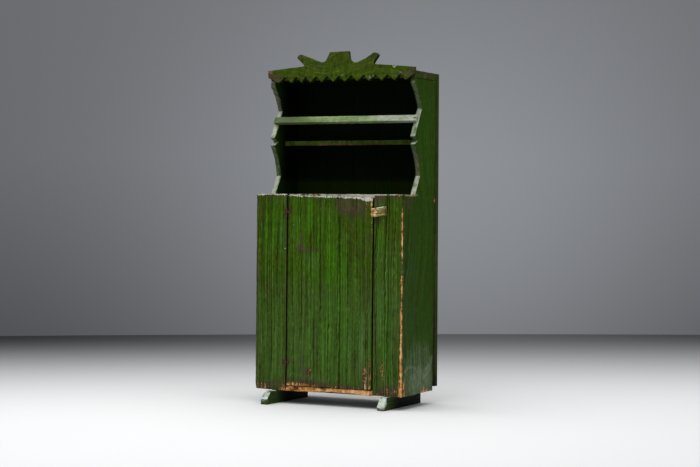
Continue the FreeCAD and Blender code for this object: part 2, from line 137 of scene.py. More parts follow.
class Mark(Enum):
    """What has happened to the paint at a place, or what light and shade is painted on it; each is one
    channel of the boards' attributes.
    """

    BARE = ("wear", 0)
    STAIN = ("wear", 1)
    PALE = ("wear", 2)
    # darkens the worn grooves: dirt, and painted shade
    CAVITY = ("wear", 3)
    RAW = ("coat", 0)
    FRESH = ("coat", 1)
    COOL = ("coat", 2)
    # Grime, and painted shade: darkening inside the rack, under boards, in cracks and in gaps
    GRIME = ("coat", 3)


LAYERS = ("wear", "coat")


@dataclass(frozen=True)
class Patch:
    """A worn, stained or dented place, as an ellipsoid in the shared frame."""

    centre: Place
    reach: Place
    marks: Mapping[Mark, float]
    dent: float = 0.0

    def strength(self, points: np.ndarray) -> np.ndarray:
        """Say how strongly the patch acts at each point, from 0 outside to 1 in its heart."""
        shares = (points - np.array(self.centre)) / np.array(self.reach)
        return np.clip(PATCH_RISE * (1.0 - (shares ** 2).sum(axis=1)), 0.0, 1.0)


@dataclass(frozen=True)
class Scrape:
    """A thin scratch through the paint, along a line of places."""

    route: Sequence[Place]
    width: float
    marks: Mapping[Mark, float]
    dent: float = 0.0

    def strength(self, points: np.ndarray) -> np.ndarray:
        """Say how strongly the scratch acts at each point, from 0 beside it to 1 in its middle."""
        segments = [(np.array(start), np.array(end)) for start, end in zip(self.route, self.route[1:])]
        return np.clip(SCRAPE_RISE * (1.0 - arris_distance(points, segments) / self.width), 0.0, 1.0)


@dataclass(frozen=True)
class Split:
    """A drying crack that runs up a board's front, drawn from its closed foot to its open top."""

    face: float
    route: Sequence[Spot]
    width: float = 0.0022
    depth: float = 0.003
    closed: float = 0.35

    def strength(self, points: np.ndarray) -> np.ndarray:
        """Say how deep the crack is at each point.

        Args:
            points: One row for each place, in metres.

        Returns:
            The share of the crack's full depth at each place, from 0 to 1.
        """
        across, heights = zip(*self.route)
        middle = np.interp(points[:, 2], heights, across)
        opened = np.clip((points[:, 2] - heights[0]) / (heights[-1] - heights[0]), 0.0, 1.0)
        half = self.width * (self.closed + (1.0 - self.closed) * opened)
        near = np.clip(1.0 - np.abs(points[:, 0] - middle) / half, 0.0, 1.0)
        on_face = np.abs(points[:, 1] - self.face) < self.depth
        return near * on_face * (points[:, 2] > heights[0])


@dataclass(frozen=True)
class Face:
    """A board's face, square to X or Y, on which a place is given by how far across and up it is."""

    through: Axis
    level: float

    def ordered(self, through: float, across: float, up: float) -> Place:
        """Put three measures into the shared frame's order."""
        return (through, across, up) if self.through is Axis.X else (across, through, up)

    def spot(self, across: float, up: float, wide: float, tall: float, deep: float = 0.02,
             dent: float = 0.0, **shares: float) -> Patch:
        """Mark a round place by its middle, its reach each way, its dent and the strength of its marks."""
        reach = self.ordered(deep, wide, tall)
        return Patch(self.ordered(self.level, across, up), reach, marked(shares), dent)

    def line(self, route: Sequence[Spot], width: float, **shares: float) -> Scrape:
        """Mark a scratch or a rubbed arris by its route, its width and the strength of its marks."""
        return Scrape([self.ordered(self.level, *place) for place in route], width, marked(shares))


def marked(shares: Mapping[str, float]) -> dict[Mark, float]:
    """Look marks up by their names in small letters."""
    return {Mark[name.upper()]: share for name, share in shares.items()}


@dataclass(frozen=True)
class Timber:
    """How one board was sawn from its log, how finely it is drawn, how far it has worn, and how much light
    and shade is painted on it.
    """

    along: Axis
    pith: tuple[float, float]
    seed: int
    ring: float = 0.0062
    groove: float = 0.0010
    wander: float = 0.003
    cell: float = 0.0024
    step: float = 0.014
    skin: float = 0.007
    arris: float = 0.0015
    rag_top: float = 0.0010
    rag_foot: float = 0.0010
    nicks: float = 0.0013
    edge_wear: float = 0.35
    # paler faces that look up: rubbed paint, and painted top light
    pale_and_lit_above: float = 0.0
    # painted shade on faces that look down
    shade_below: float = 0.0
    edge_stain: float = 0.0
    rim_stain: float = 0.0
    # how much shade is painted inside the open rack
    shade: float = 0.0


# Shader nodes


@dataclass(frozen=True)
class Wiring:
    """Adds and joins the shader nodes of one tree."""

    tree: bpy.types.NodeTree

    def node(self, kind: str, settings: Mapping[str, object] | None = None,
             numbered: Mapping[int, object] | None = None, **named: object) -> bpy.types.Node:
        """Add a node.

        Args:
            kind: The node's type, without its ShaderNode prefix.
            settings: Properties of the node.
            numbered: A value or an output socket for some inputs, by their index.
            named: The same for others by their name, with underscores for spaces.

        Returns:
            The new node.
        """
        made = self.tree.nodes.new("ShaderNode" + kind)
        for name, value in (settings or {}).items():
            setattr(made, name, value)
        for index, value in (numbered or {}).items():
            self.feed(made.inputs[index], value)
        for name, value in named.items():
            self.feed(made.inputs[name.replace("_", " ")], value)
        return made

    def feed(self, socket: Socket, value: object) -> None:
        """Link an output socket to an input, or set the input's own value.

        Args:
            socket: The input.
            value: An output socket, a number, a vector or a colour.
        """
        if isinstance(value, Socket):
            self.tree.links.new(value, socket)
        elif isinstance(value, tuple) and socket.type == "RGBA":
            socket.default_value = (*value, 1.0)
        else:
            socket.default_value = value

    def math(self, operation: str, *values: object, clamp: bool = False) -> Socket:
        """Work a number out from others."""
        settings = {"operation": operation, "use_clamp": clamp}
        return self.node("Math", settings, dict(enumerate(values))).outputs[0]

    def scaled(self, vector: Socket, factors: Place) -> Socket:
        """Multiply a vector by three factors."""
        return self.node("VectorMath", {"operation": "MULTIPLY"}, {0: vector, 1: factors}).outputs["Vector"]

    def along(self, vector: Socket, direction: Place) -> Socket:
        """Measure a vector along a direction."""
        made = self.node("VectorMath", {"operation": "DOT_PRODUCT"}, {0: vector, 1: direction})
        return made.outputs["Value"]

    def mix(self, factor: object, first: object, second: object) -> Socket:
        """Mix two colours, the second by the factor's share."""
        return self.node("Mix", {"data_type": "RGBA"}, {0: factor, 6: first, 7: second}).outputs[2]

    def noise(self, vector: Socket, scale: float, detail: float = 3.0, roughness: float = 0.55) -> Socket:
        """Add a noise texture and give its factor, spread to use the whole of 0 to 1."""
        made = self.node("TexNoise", Vector=vector, Scale=scale, Detail=detail, Roughness=roughness)
        return self.stretch(made.outputs[0], 0.28, 0.72)

    def stretch(self, value: Socket, low: float, high: float, least: float = 0.0,
                most: float = 1.0) -> Socket:
        """Map a range onto another and hold the result within it."""
        return self.node("MapRange", {"clamp": True}, Value=value, From_Min=low, From_Max=high,
                         To_Min=least, To_Max=most).outputs[0]

    def group(self, made: bpy.types.NodeTree, **inputs: object) -> bpy.types.Node:
        """Place a node group."""
        return self.node("Group", {"node_tree": made}, **inputs)


def new_group(name: str, inputs: Mapping[str, str],
              outputs: Sequence[str]) -> tuple[Wiring, bpy.types.Node, bpy.types.Node]:
    """Start a node group.

    Args:
        name: The group's name.
        inputs: The kind of socket for each input's name, Float or Vector.
        outputs: Names of the float outputs.

    Returns:
        The group's wiring, its input node and its output node.
    """
    tree = bpy.data.node_groups.new(name, "ShaderNodeTree")
    for label, kind in inputs.items():
        tree.interface.new_socket(label, in_out="INPUT", socket_type="NodeSocket" + kind)
    for label in outputs:
        tree.interface.new_socket(label, in_out="OUTPUT", socket_type="NodeSocketFloat")
    return Wiring(tree), tree.nodes.new("NodeGroupInput"), tree.nodes.new("NodeGroupOutput")


# Each streaky pattern's scale across and along the grain, its detail and its roughness
STREAKS = {"Streak": (0.45, 3.2, 4.0, 0.6), "Line": (1.5, 2.4, 3.0, 0.6), "Dash": (1.3, 42.0, 3.0, 0.55),
           "Breakup": (1.5, 16.0, 5.0, 0.65)}
GRAIN_OUTPUTS = ("Ridge", "Tone", *STREAKS, "Mottle", "Speck", "Brush", "Warmth", "Chill", "Chips")


def pine_grain() -> bpy.types.NodeTree:
    """Build the group that draws year rings, streaks, dashes and drifts of colour along the grain.

    Returns:
        The group.
    """
    wiring, source, result = new_group("pine_grain", {"Grain": "Vector", "Place": "Vector"}, GRAIN_OUTPUTS)
    grain, place = source.outputs["Grain"], source.outputs["Place"]
    parts = wiring.node("SeparateXYZ", Vector=grain).outputs
    wave = wiring.math("COSINE", wiring.math("MULTIPLY", parts["X"], math.tau))
    board = wiring.math("MULTIPLY", parts["Z"], 31.7)
    number = wiring.math("ADD", wiring.math("ROUND", parts["X"]), board)
    drift = wiring.node("TexNoise", Vector=wiring.scaled(grain, (0.24, 9.0, 1.0)), Scale=1.0, Detail=4.0,
                        Roughness=0.6)
    drifts = wiring.node("SeparateColor", Color=drift.outputs["Color"]).outputs
    cells = wiring.node("TexVoronoi", Vector=place, Scale=24.0)
    chance = wiring.node("SeparateColor", Color=cells.outputs["Color"]).outputs[0]
    near = wiring.stretch(cells.outputs["Distance"], 0.075, 0.045)
    values = {
        "Ridge": wiring.math("MULTIPLY_ADD", wave, 0.5, 0.5),
        "Tone": wiring.node("TexWhiteNoise", {"noise_dimensions": "1D"}, W=number).outputs["Value"],
        "Mottle": wiring.noise(place, 34.0, 4.0, 0.6),
        "Speck": wiring.noise(place, 130.0, 3.0, 0.55),
        "Brush": wiring.noise(wiring.scaled(place, (95.0, 95.0, 28.0)), 1.0, 4.0, 0.65),
        "Warmth": wiring.stretch(drifts[1], 0.46, 0.70),
        "Chill": wiring.stretch(drifts[2], 0.50, 0.72),
        "Chips": wiring.math("MULTIPLY", wiring.stretch(chance, 0.95, 0.951), near),
    }
    for name, (across, along, detail, roughness) in STREAKS.items():
        values[name] = wiring.noise(wiring.scaled(grain, (across, along, 1.0)), 1.0, detail, roughness)
    for name, value in values.items():
        wiring.feed(result.inputs[name], value)
    return wiring.tree


def flaking() -> bpy.types.NodeTree:
    """Build the group that turns a soft amount into a ragged mask; no amount gives none, and 1 the whole.

    Returns:
        The group.
    """
    inputs = dict.fromkeys(("Amount", "Breakup", "Spread", "Softness"), "Float")
    wiring, source, result = new_group("flaking", inputs, ("Mask",))
    weakness = wiring.math("SUBTRACT", source.outputs["Breakup"], 0.5)
    total = wiring.math("MULTIPLY_ADD", weakness, source.outputs["Spread"], source.outputs["Amount"])
    above = wiring.math("DIVIDE", wiring.math("SUBTRACT", total, 0.5), source.outputs["Softness"])
    wiring.feed(result.inputs["Mask"], wiring.math("ADD", above, 0.5, clamp=True))
    return wiring.tree


def start_material(name: str) -> tuple[bpy.types.Material, Wiring, bpy.types.Node]:
    """Start a material.

    Args:
        name: The material's name.

    Returns:
        The material, its wiring and its Principled shader.
    """
    material = bpy.data.materials.new(name)
    material.use_nodes = True
    return material, Wiring(material.node_tree), material.node_tree.nodes["Principled BSDF"]


@dataclass(frozen=True)
class Surface:
    """What a board's material draws with: patterns of the grain and marks of wear, by name."""

    wiring: Wiring
    flaking: bpy.types.NodeTree
    parts: Mapping[str, Socket]

    @classmethod
    def read(cls, wiring: Wiring, groups: Groups) -> "Surface":
        """Read the patterns and the marks from the board's attributes.

        Args:
            wiring: The material's wiring.
            groups: The shared node groups under their names.

        Returns:
            The surface.
        """
        sawn = wiring.node("Attribute", {"attribute_name": "grain"}).outputs["Vector"]
        place = wiring.node("TexCoord").outputs["Object"]
        grain = wiring.group(groups["pine_grain"], Grain=sawn, Place=place).outputs
        parts = {name.lower(): grain[name] for name in GRAIN_OUTPUTS}
        parts["ring"] = wiring.math("MULTIPLY", parts["ridge"], parts["tone"])
        for layer in LAYERS:
            attribute = wiring.node("Attribute", {"attribute_name": layer}).outputs
            channels = wiring.node("SeparateColor", Color=attribute["Color"]).outputs
            names = (mark.name.lower() for mark in Mark if mark.value[0] == layer)
            parts.update(zip(names, (*channels[:3], attribute["Alpha"])))
        return cls(wiring, groups["flaking"], parts)

    def sway(self, total: object, **shares: float) -> Socket:
        """Add patterns, each taken about its middle, to a total.

        Args:
            total: What they are added to.
            shares: How much of each pattern or mark is added, by its name.

        Returns:
            The sum.
        """
        for name, share in shares.items():
            centred = self.wiring.math("SUBTRACT", self.parts[name], 0.5)
            total = self.wiring.math("MULTIPLY_ADD", centred, share, total)
        return total

    def mask(self, mark: str, spread: float, softness: float, pattern: Socket) -> Socket:
        """Break a mark up into a ragged mask.

        Args:
            mark: The mark's name.
            spread: How far the pattern sways its edge.
            softness: How soft its edge is.
            pattern: What breaks it up.

        Returns:
            The mask.
        """
        amount = self.parts[mark]
        held = self.wiring.math("MULTIPLY", pattern, self.wiring.stretch(amount, 0.0, 0.15))
        flakes = self.wiring.group(self.flaking, Amount=amount, Breakup=held, Spread=spread,
                                   Softness=softness)
        return flakes.outputs["Mask"]


@dataclass(frozen=True)
class PineFinish:
    """Old paint over pine, with what shows where the paint is thin, stained, rubbed or gone."""

    name: str
    ridge: Colour
    groove: Colour
    fresh: Colour
    cool: Colour
    warm: Colour = (0.070, 0.088, 0.012)
    # colour of painted highlights along the grain
    glint: Colour = (0.105, 0.160, 0.060)
    pale: Colour = (0.40, 0.44, 0.30)
    stain_light: Colour = (0.102, 0.067, 0.044)
    stain_dark: Colour = (0.018, 0.012, 0.007)
    bare_light: Colour = (0.86, 0.54, 0.27)
    bare_middle: Colour = (0.56, 0.245, 0.064)
    bare_dark: Colour = (0.11, 0.036, 0.012)
    raw_light: Colour = (0.26, 0.17, 0.095)
    raw_dark: Colour = (0.12, 0.070, 0.040)
    # colour of grime and of painted shade
    dark_grime_and_shade: Colour = (0.0012, 0.0030, 0.0006)
    roughness: float = 0.45
    wood_roughness: float = 0.8
    shine: float = 0.05
    relief: float = 0.5
    contrast: float = 1.0
    blotches: float = 0.25
    drift: float = 0.6
    brushed: float = 0.0
    flecking: float = 1.0
    softness: float = 0.30
    chips: float = 0.9

    def painted(self, surface: Surface) -> tuple[Socket, Socket]:
        """Draw the old paint, thin and darker in its grooves with dirt and painted shade, with drifts of
        warmer, cooler and fresher colour and painted glints along the grain.

        Args:
            surface: The board's patterns and marks.

        Returns:
            How high the paint stands, and its colour.
        """
        wiring, parts = surface.wiring, surface.parts
        height = surface.sway(0.60, ring=0.45 * self.contrast, streak=0.30 * self.contrast,
                              line=0.80 * self.contrast, dash=0.45 * self.contrast,
                              mottle=self.blotches, brush=self.brushed)
        height = wiring.math("MULTIPLY_ADD", parts["cool"], 0.11, height)
        # darker in the grooves: dirt, and painted shade
        shown = wiring.math("MULTIPLY_ADD", parts["cavity"], -0.55 * self.contrast, height, clamp=True)
        coat = wiring.mix(wiring.math("MULTIPLY", parts["warmth"], self.drift), self.ridge, self.warm)
        cooled = wiring.math("MULTIPLY_ADD", parts["chill"], self.drift, parts["cool"], clamp=True)
        coat = wiring.mix(cooled, coat, self.cool)
        freshened = wiring.math("MULTIPLY", parts["fresh"], wiring.stretch(parts["streak"], 0.0, 0.7))
        colour = wiring.mix(shown, self.groove, wiring.mix(freshened, coat, self.fresh))
        # painted glint: pale streaks along the grain stand in for highlights on the ridges
        lit = wiring.stretch(surface.sway(parts["dash"], line=1.0), 0.78, 1.2)
        colour = wiring.mix(wiring.math("MULTIPLY", lit, 0.45), colour, self.glint)
        chipped = wiring.math("MULTIPLY", parts["chips"], self.chips)
        return height, wiring.mix(chipped, colour, self.pale)

    def worn(self, surface: Surface, height: Socket, colour: Socket) -> tuple[Socket, Socket, Socket]:
        """Stain the paint, rub it pale, chew it off, and leave grime, painted shade and unpainted wood.

        Args:
            surface: The board's patterns and marks.
            height: How high the paint stands.
            colour: The paint's colour.

        Returns:
            The worn colour, where the wood is bare, and how far the surface has lost its paint's gloss.
        """
        wiring, parts = surface.wiring, surface.parts
        veil = surface.sway(0.62, line=0.9, dash=0.6, cavity=0.7)
        stained = wiring.math("MULTIPLY", surface.mask("stain", 1.5, 0.5, veil), 0.88)
        stain = wiring.mix(surface.sway(parts["line"], mottle=0.5), self.stain_dark, self.stain_light)
        colour = wiring.mix(stained, colour, stain)
        flecks = surface.sway(height, breakup=0.6, speck=0.5)
        # the pale colour, for rubbed paint and for painted top light
        pale_dust_and_light = wiring.mix(parts["dash"], tuple(0.55 * part for part in self.pale), self.pale)
        colour = wiring.mix(surface.mask("pale", self.flecking, self.softness, flecks), colour, pale_dust_and_light)
        bared = surface.mask("bare", 1.3, 0.15, surface.sway(parts["breakup"], speck=0.55))
        age = surface.sway(parts["line"], speck=0.4, dash=0.9, mottle=0.5, bare=0.50)
        wood = wiring.mix(wiring.stretch(age, 0.20, 0.60), self.bare_dark, self.bare_middle)
        wood = wiring.mix(wiring.stretch(age, 0.65, 1.15), wood, self.bare_light)
        colour = wiring.mix(bared, colour, wood)
        raw = surface.mask("raw", 0.3, 0.2, parts["breakup"])
        grown = wiring.mix(surface.sway(0.5, dash=0.6, ridge=0.45), self.raw_light, self.raw_dark)
        colour = wiring.mix(raw, colour, grown)
        # darken towards the grime colour, where there is grime and where shade is painted
        colour = wiring.mix(wiring.math("MULTIPLY", parts["grime"], 0.97), colour, self.dark_grime_and_shade)
        dulled = wiring.math("MULTIPLY", stained, 0.6)
        lost = wiring.math("MAXIMUM", wiring.math("MAXIMUM", bared, raw), dulled)
        return colour, bared, lost

    def material(self, groups: Groups) -> bpy.types.Material:
        """Build the material.

        Args:
            groups: The shared node groups under their names.

        Returns:
            The finished material.
        """
        material, wiring, shader = start_material(self.name)
        surface = Surface.read(wiring, groups)
        height, paint = self.painted(surface)
        colour, bared, lost = self.worn(surface, height, paint)
        rough = wiring.math("MULTIPLY_ADD", lost, self.wood_roughness - self.roughness, self.roughness)
        polished = wiring.math("MULTIPLY_ADD", wiring.math("SUBTRACT", height, 0.5), -0.22, rough)
        thickness = wiring.math("MULTIPLY_ADD", bared, -0.5, surface.sway(0.75, dash=0.5))
        bump = wiring.node("Bump", Height=thickness, Strength=self.relief, Distance=0.0007)
        wiring.feed(shader.inputs["Base Color"], colour)
        wiring.feed(shader.inputs["Roughness"], wiring.math("ADD", polished, 0.0, clamp=True))
        wiring.feed(shader.inputs["Normal"], bump.outputs["Normal"])
        shader.inputs["Specular IOR Level"].default_value = self.shine
        return material


@dataclass(frozen=True)
class IronFinish:
    """Wrought iron under rust, or under paint that has flaked off its high places."""

    name: str
    coat: Colour
    rust: Colour = (0.115, 0.042, 0.018)
    dark: Colour = (0.022, 0.016, 0.013)
    coated: float = 0.0

    def material(self, groups: Groups) -> bpy.types.Material:
        """Build the material.

        Args:
            groups: The shared node groups under their names.

        Returns:
            The finished material.
        """
        material, wiring, shader = start_material(self.name)
        place = wiring.node("TexCoord").outputs["Object"]
        coarse = wiring.noise(place, 160.0, 3.0)
        fine = wiring.noise(place, 900.0, 4.0, 0.65)
        metal = wiring.mix(wiring.stretch(wiring.math("ADD", coarse, fine), 0.5, 1.4), self.dark, self.rust)
        flakes = wiring.group(groups["flaking"], Amount=self.coated, Breakup=coarse, Spread=0.9,
                              Softness=0.2)
        bump = wiring.node("Bump", Height=fine, Strength=0.6, Distance=0.0004)
        wiring.feed(shader.inputs["Base Color"], wiring.mix(flakes.outputs["Mask"], metal, self.coat))
        wiring.feed(shader.inputs["Roughness"], wiring.stretch(fine, 0.0, 1.0, 0.55, 0.9))
        wiring.feed(shader.inputs["Normal"], bump.outputs["Normal"])
        shader.inputs["Metallic"].default_value = 0.25
        return material


# Pieces


def clean_copy(node: str) -> bmesh.types.BMesh:
    """Copy a node's mesh with its loose triangles joined into plain faces.

    Args:
        node: Name of the node.

    Returns:
        The joined copy.
    """
    bm = bmesh.new()
    bm.from_mesh(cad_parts[node].data)
    bmesh.ops.remove_doubles(bm, verts=bm.verts[:], dist=MERGED)
    bmesh.ops.dissolve_limit(bm, angle_limit=FLAT, verts=bm.verts[:], edges=bm.edges[:])
    return bm


def sharp_edges(bm: bmesh.types.BMesh) -> list[bmesh.types.BMEdge]:
    """List the edges where two faces meet at a corner."""
    return [edge for edge in bm.edges if edge.is_manifold and edge.calc_face_angle(0.0) > CORNER]


def soften(bm: bmesh.types.BMesh, edges: list[bmesh.types.BMEdge], radius: float) -> None:
    """Round edges off."""
    bmesh.ops.bevel(bm, geom=edges, offset=radius, offset_type="OFFSET", segments=2, profile=0.5,
                    affect="EDGES", clamp_overlap=True, material=-1)


def finished(bm: bmesh.types.BMesh, name: str) -> bpy.types.Mesh:
    """Turn a bmesh into a mesh, and free it.

    Args:
        bm: The bmesh.
        name: The mesh's name.

    Returns:
        The mesh.
    """
    mesh = bpy.data.meshes.new(name)
    bm.to_mesh(mesh)
    bm.free()
    return mesh


def slice_up(bm: bmesh.types.BMesh, axis: Axis, pitch: float) -> None:
    """Cut every face by evenly spaced planes across an axis, by halves so that each cut meets few faces.

    Args:
        bm: The mesh to cut.
        axis: The planes' normal.
        pitch: Distance between the planes.
    """
    places = [vert.co[axis.value] for vert in bm.verts]
    low, high = min(places), max(places)
    count = max(1, round((high - low) / pitch))
    normal = Vector([float(index == axis.value) for index in range(3)])
    levels = [low + (high - low) * index / count for index in range(1, count)]
    pending = [(bm.faces[:], levels)]
    while pending:
        faces, levels = pending.pop()
        if not levels or not faces:
            continue
        half = len(levels) // 2
        parts = set(faces)
        for face in faces:
            parts.update(face.edges)
            parts.update(face.verts)
        cut = bmesh.ops.bisect_plane(bm, geom=list(parts), plane_co=normal * levels[half],
                                     plane_no=normal, dist=ON_CUT)
        below, above = [], []
        for part in cut["geom"]:
            if isinstance(part, bmesh.types.BMFace):
                side = below if part.calc_center_median()[axis.value] < levels[half] else above
                side.append(part)
        pending.append((below, levels[:half]))
        pending.append((above, levels[half + 1:]))


def arris_distance(points: np.ndarray, segments: Segments) -> np.ndarray:
    """Measure how far each point is from the nearest of some straight edges.

    Args:
        points: One row for each place.
        segments: The two ends of each edge.

    Returns:
        The distances.
    """
    nearest = np.full(len(points), 1.0)
    for start, end in segments:
        way = end - start
        share = np.clip((points - start) @ way / (way @ way), 0.0, 1.0)
        gap = points - start - share[:, None] * way
        nearest = np.minimum(nearest, np.sqrt((gap ** 2).sum(axis=1)))
    return nearest


def unpainted(points: np.ndarray) -> np.ndarray:
    """Say which places were never painted: the inside, the back and its joints, and the underside.

    Args:
        points: One row for each place, in metres.

    Returns:
        1 where the wood was never painted, and 0 elsewhere.
    """
    slack, front_rim, floor_rim, joint = 0.0006, 0.0012, 0.0015, 0.002
    low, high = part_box("bottom_board"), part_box("counter_board")
    across, through, up = np.abs(points[:, 0]), points[:, 1], points[:, 2]
    inside = (across < high[1].x + slack) & (through > high[0].y - front_rim - slack)
    inside &= (through < high[1].y + slack) & (up > low[1].z - floor_rim) & (up < high[0].z + slack)
    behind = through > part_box("back_board_1")[1].y - slack
    joints = (through > high[1].y + joint) & (across < high[1].x)
    below = (up < low[0].z + slack) & (up > low[0].z - slack) & (through > high[0].y)
    return (inside | behind | joints | below).astype(float)


def rack_shade(points: np.ndarray) -> np.ndarray:
    """Say how deep each place lies inside the open rack, where the wood is painted darker as shade.

    Args:
        points: One row for each place, in metres.

    Returns:
        0 outside the rack, a little at its front, and up to 1 deep inside.
    """
    # painted shade inside the rack, a little lighter just above the counter
    slack, back_rim, full_depth, lit_height = 0.0022, 0.006, 0.10, 0.07
    counter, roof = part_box("counter_board"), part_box("roof_board")
    within = (np.abs(points[:, 0]) < counter[1].x + slack) & (points[:, 1] < counter[1].y + slack)
    top = np.where(points[:, 1] > counter[1].y - back_rim, roof[1].z, roof[0].z + slack)
    within &= (points[:, 2] > counter[1].z - slack) & (points[:, 2] < top)
    depth = np.clip((points[:, 1] - roof[0].y) / full_depth, 0.0, 1.0)
    low = np.clip((points[:, 2] - counter[1].z) / lit_height, 0.80, 1.0)
    return within * (0.35 + 0.65 * depth) * low


def vectors_of(items: bpy.types.bpy_prop_collection, name: str) -> np.ndarray:
    """Read one vector of every item.

    Args:
        items: A mesh's vertices or normals.
        name: The vector's name.

    Returns:
        One row for each item.
    """
    flat = np.zeros(len(items) * 3, np.float32)
    items.foreach_get(name, flat)
    return flat.reshape(-1, 3).astype(float)


def show(mesh: bpy.types.Mesh, node: str, material: bpy.types.Material, slot: str, body: str) -> None:
    """Put a finished mesh in the scene in place of its node.

    Args:
        mesh: The finished mesh, with its place in its vertices.
        node: The node that it stands for.
        material: Its finish.
        slot: Not used.
        body: The body that it moves with.
    """
    mesh.materials.clear()
    mesh.materials.append(material)
    mesh.shade_smooth()
    piece = bpy.data.objects.new(mesh.name, mesh)
    bpy.context.scene.collection.objects.link(piece)
    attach(piece, body)
    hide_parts(node)
    LOG.info("%s: %d faces, rides on %s", piece.name, len(mesh.polygons), body)


@dataclass(frozen=True)
class Board:
    """One board, made from its node: cut into fine strips, then worn and carved along its grain."""

    node: str
    timber: Timber
    wear: Sequence[Patch | Scrape | Split] = ()

    def dress(self, material: bpy.types.Material, slot: str, body: str) -> None:
        """Make the board and show it with its finish."""
        show(self.mesh(), self.node, material, slot, body)

    def section(self) -> tuple[int, int]:
        """Give the indices of the axes of the board's thickness and of its width."""
        low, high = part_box(self.node)
        return tuple(sorted(self.timber.along.others(), key=lambda index: high[index] - low[index]))

    def mesh(self) -> bpy.types.Mesh:
        """Cut the board's surface into strips and weather it.

        Returns:
            The finished mesh.
        """
        timber = self.timber
        thin = self.section()[0]
        bm = clean_copy(self.node)
        edges = sharp_edges(bm)
        segments = [tuple(np.array(vert.co) for vert in edge.verts) for edge in edges]
        soften(bm, edges, timber.arris)
        slice_up(bm, timber.along, timber.step)
        for index in timber.along.others():
            slice_up(bm, Axis(index), timber.skin if index == thin else timber.cell)
        bm.normal_update()
        mesh = finished(bm, self.node + "_worn")
        self.weather(mesh, segments)
        return mesh

    def rings(self, points: np.ndarray) -> np.ndarray:
        """Count the year rings from the heart of the log to each point.

        Args:
            points: One row for each place.

        Returns:
            The ring numbers, as fractions.
        """
        timber = self.timber
        low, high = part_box(self.node)
        first, second = timber.along.others()
        along = points[:, timber.along.value]
        across = points[:, first] - (low[first] + high[first]) / 2 - timber.pith[0]
        through = points[:, second] - (low[second] + high[second]) / 2 - timber.pith[1]
        across = across + timber.wander * curve(along, 0.55, timber.seed)
        through = through + 2 * timber.wander * curve(along, 0.8, timber.seed + 1)
        radius = np.hypot(across, through)
        uneven = 0.45 * curve(radius, 6 * timber.ring, timber.seed + 2)
        wobble = 0.10 * curve(along + 2 * across, 0.09, timber.seed + 3)
        return radius / timber.ring + uneven + wobble

    def cavities(self, rings: np.ndarray, along: np.ndarray) -> np.ndarray:
        """Say how far the soft wood of each year has worn away.

        Args:
            rings: Each point's ring number, as a fraction.
            along: Each point's place along the grain.

        Returns:
            The depths, as shares of the depth of the board's grooves.
        """
        number = np.floor(rings)
        chance = scatter(number, self.timber.seed)
        profile = np.sin(math.pi * (rings - number)) ** 2
        strength = 0.15 + 0.85 * chance ** 2 + 0.5 * (chance > 0.88)
        strength = strength * (0.8 + 0.3 * curve(along + number * 0.37, 0.45, self.timber.seed + 4))
        return np.clip(profile * strength, 0.0, 1.6)

    def aged(self, points: np.ndarray, normals: np.ndarray, cavity: np.ndarray,
             rubbed: np.ndarray) -> dict[Mark, np.ndarray]:
        """Mark rubbed arrises and stained edges, paler tops that are partly rubbed paint and partly painted
        top light, and painted shade on undersides and inside the rack.

        Args:
            points: One row for each place, in metres.
            normals: The surface's direction at each place.
            cavity: How far the soft wood has worn away at each place.
            rubbed: How near each place is to an arris, from 0 to 1.

        Returns:
            Each mark's strength at each place.
        """
        timber = self.timber
        patchy = 1.0 + 0.6 * cloud(points, (0.05, 0.03, 0.05), timber.seed + 12)
        uneven = 0.5 + 0.7 * cloud(points, (0.05, 0.05, 0.12), timber.seed + 7)
        upward = normals[:, 2]
        edge = timber.edge_stain * (np.abs(normals[:, self.section()[0]]) < 0.5)
        marks = {mark: np.zeros(len(points)) for mark in Mark}
        # the worn grooves are darkened: dirt, and painted shade
        marks[Mark.CAVITY] += np.clip(0.8 * cavity, 0.0, 1.0)
        marks[Mark.BARE] += timber.edge_wear * rubbed * uneven
        marks[Mark.STAIN] += edge * (upward < 0.3) * patchy + timber.rim_stain * rubbed * patchy
        # faces that look up are paler: rubbed paint, and painted top light
        marks[Mark.PALE] += timber.pale_and_lit_above * np.clip(3.0 * upward - 0.3, 0.0, 1.0) * patchy + 0.3 * edge
        # painted shade: faces that look down are darker
        marks[Mark.GRIME] += timber.shade_below * np.clip(-3.0 * upward, 0.0, 1.0)
        # painted shade deep inside the open rack
        marks[Mark.GRIME] += timber.shade * rack_shade(points)
        marks[Mark.RAW] += unpainted(points)
        return marks

    def weather(self, mesh: bpy.types.Mesh, segments: Segments) -> None:
        """Wear the mesh and keep its grain and its wear as attributes.

        Args:
            mesh: The board's mesh, changed in place.
            segments: The ends of the board's sharp edges.
        """
        timber = self.timber
        points, normals = vectors_of(mesh.vertices, "co"), vectors_of(mesh.vertex_normals, "vector")
        along = points[:, timber.along.value]
        rings = self.rings(points)
        cavity = self.cavities(rings, along)
        rubbed = np.exp(-arris_distance(points, segments) / RUBBED_REACH)
        marks = self.aged(points, normals, cavity, rubbed)
        nicks = np.clip(cloud(points, (0.02, 0.02, 0.03), timber.seed + 6), 0.0, 1.0)
        depth = timber.groove * cavity
        depth += SURFACE_WAVES * (1.0 + cloud(points, (0.10, 0.10, 0.25), timber.seed + 5))
        depth += timber.nicks * rubbed * nicks
        depth *= 1.0 - 0.85 * marks[Mark.RAW]
        for place in self.wear:
            amount = place.strength(points)
            if isinstance(place, Split):
                depth += place.depth * amount
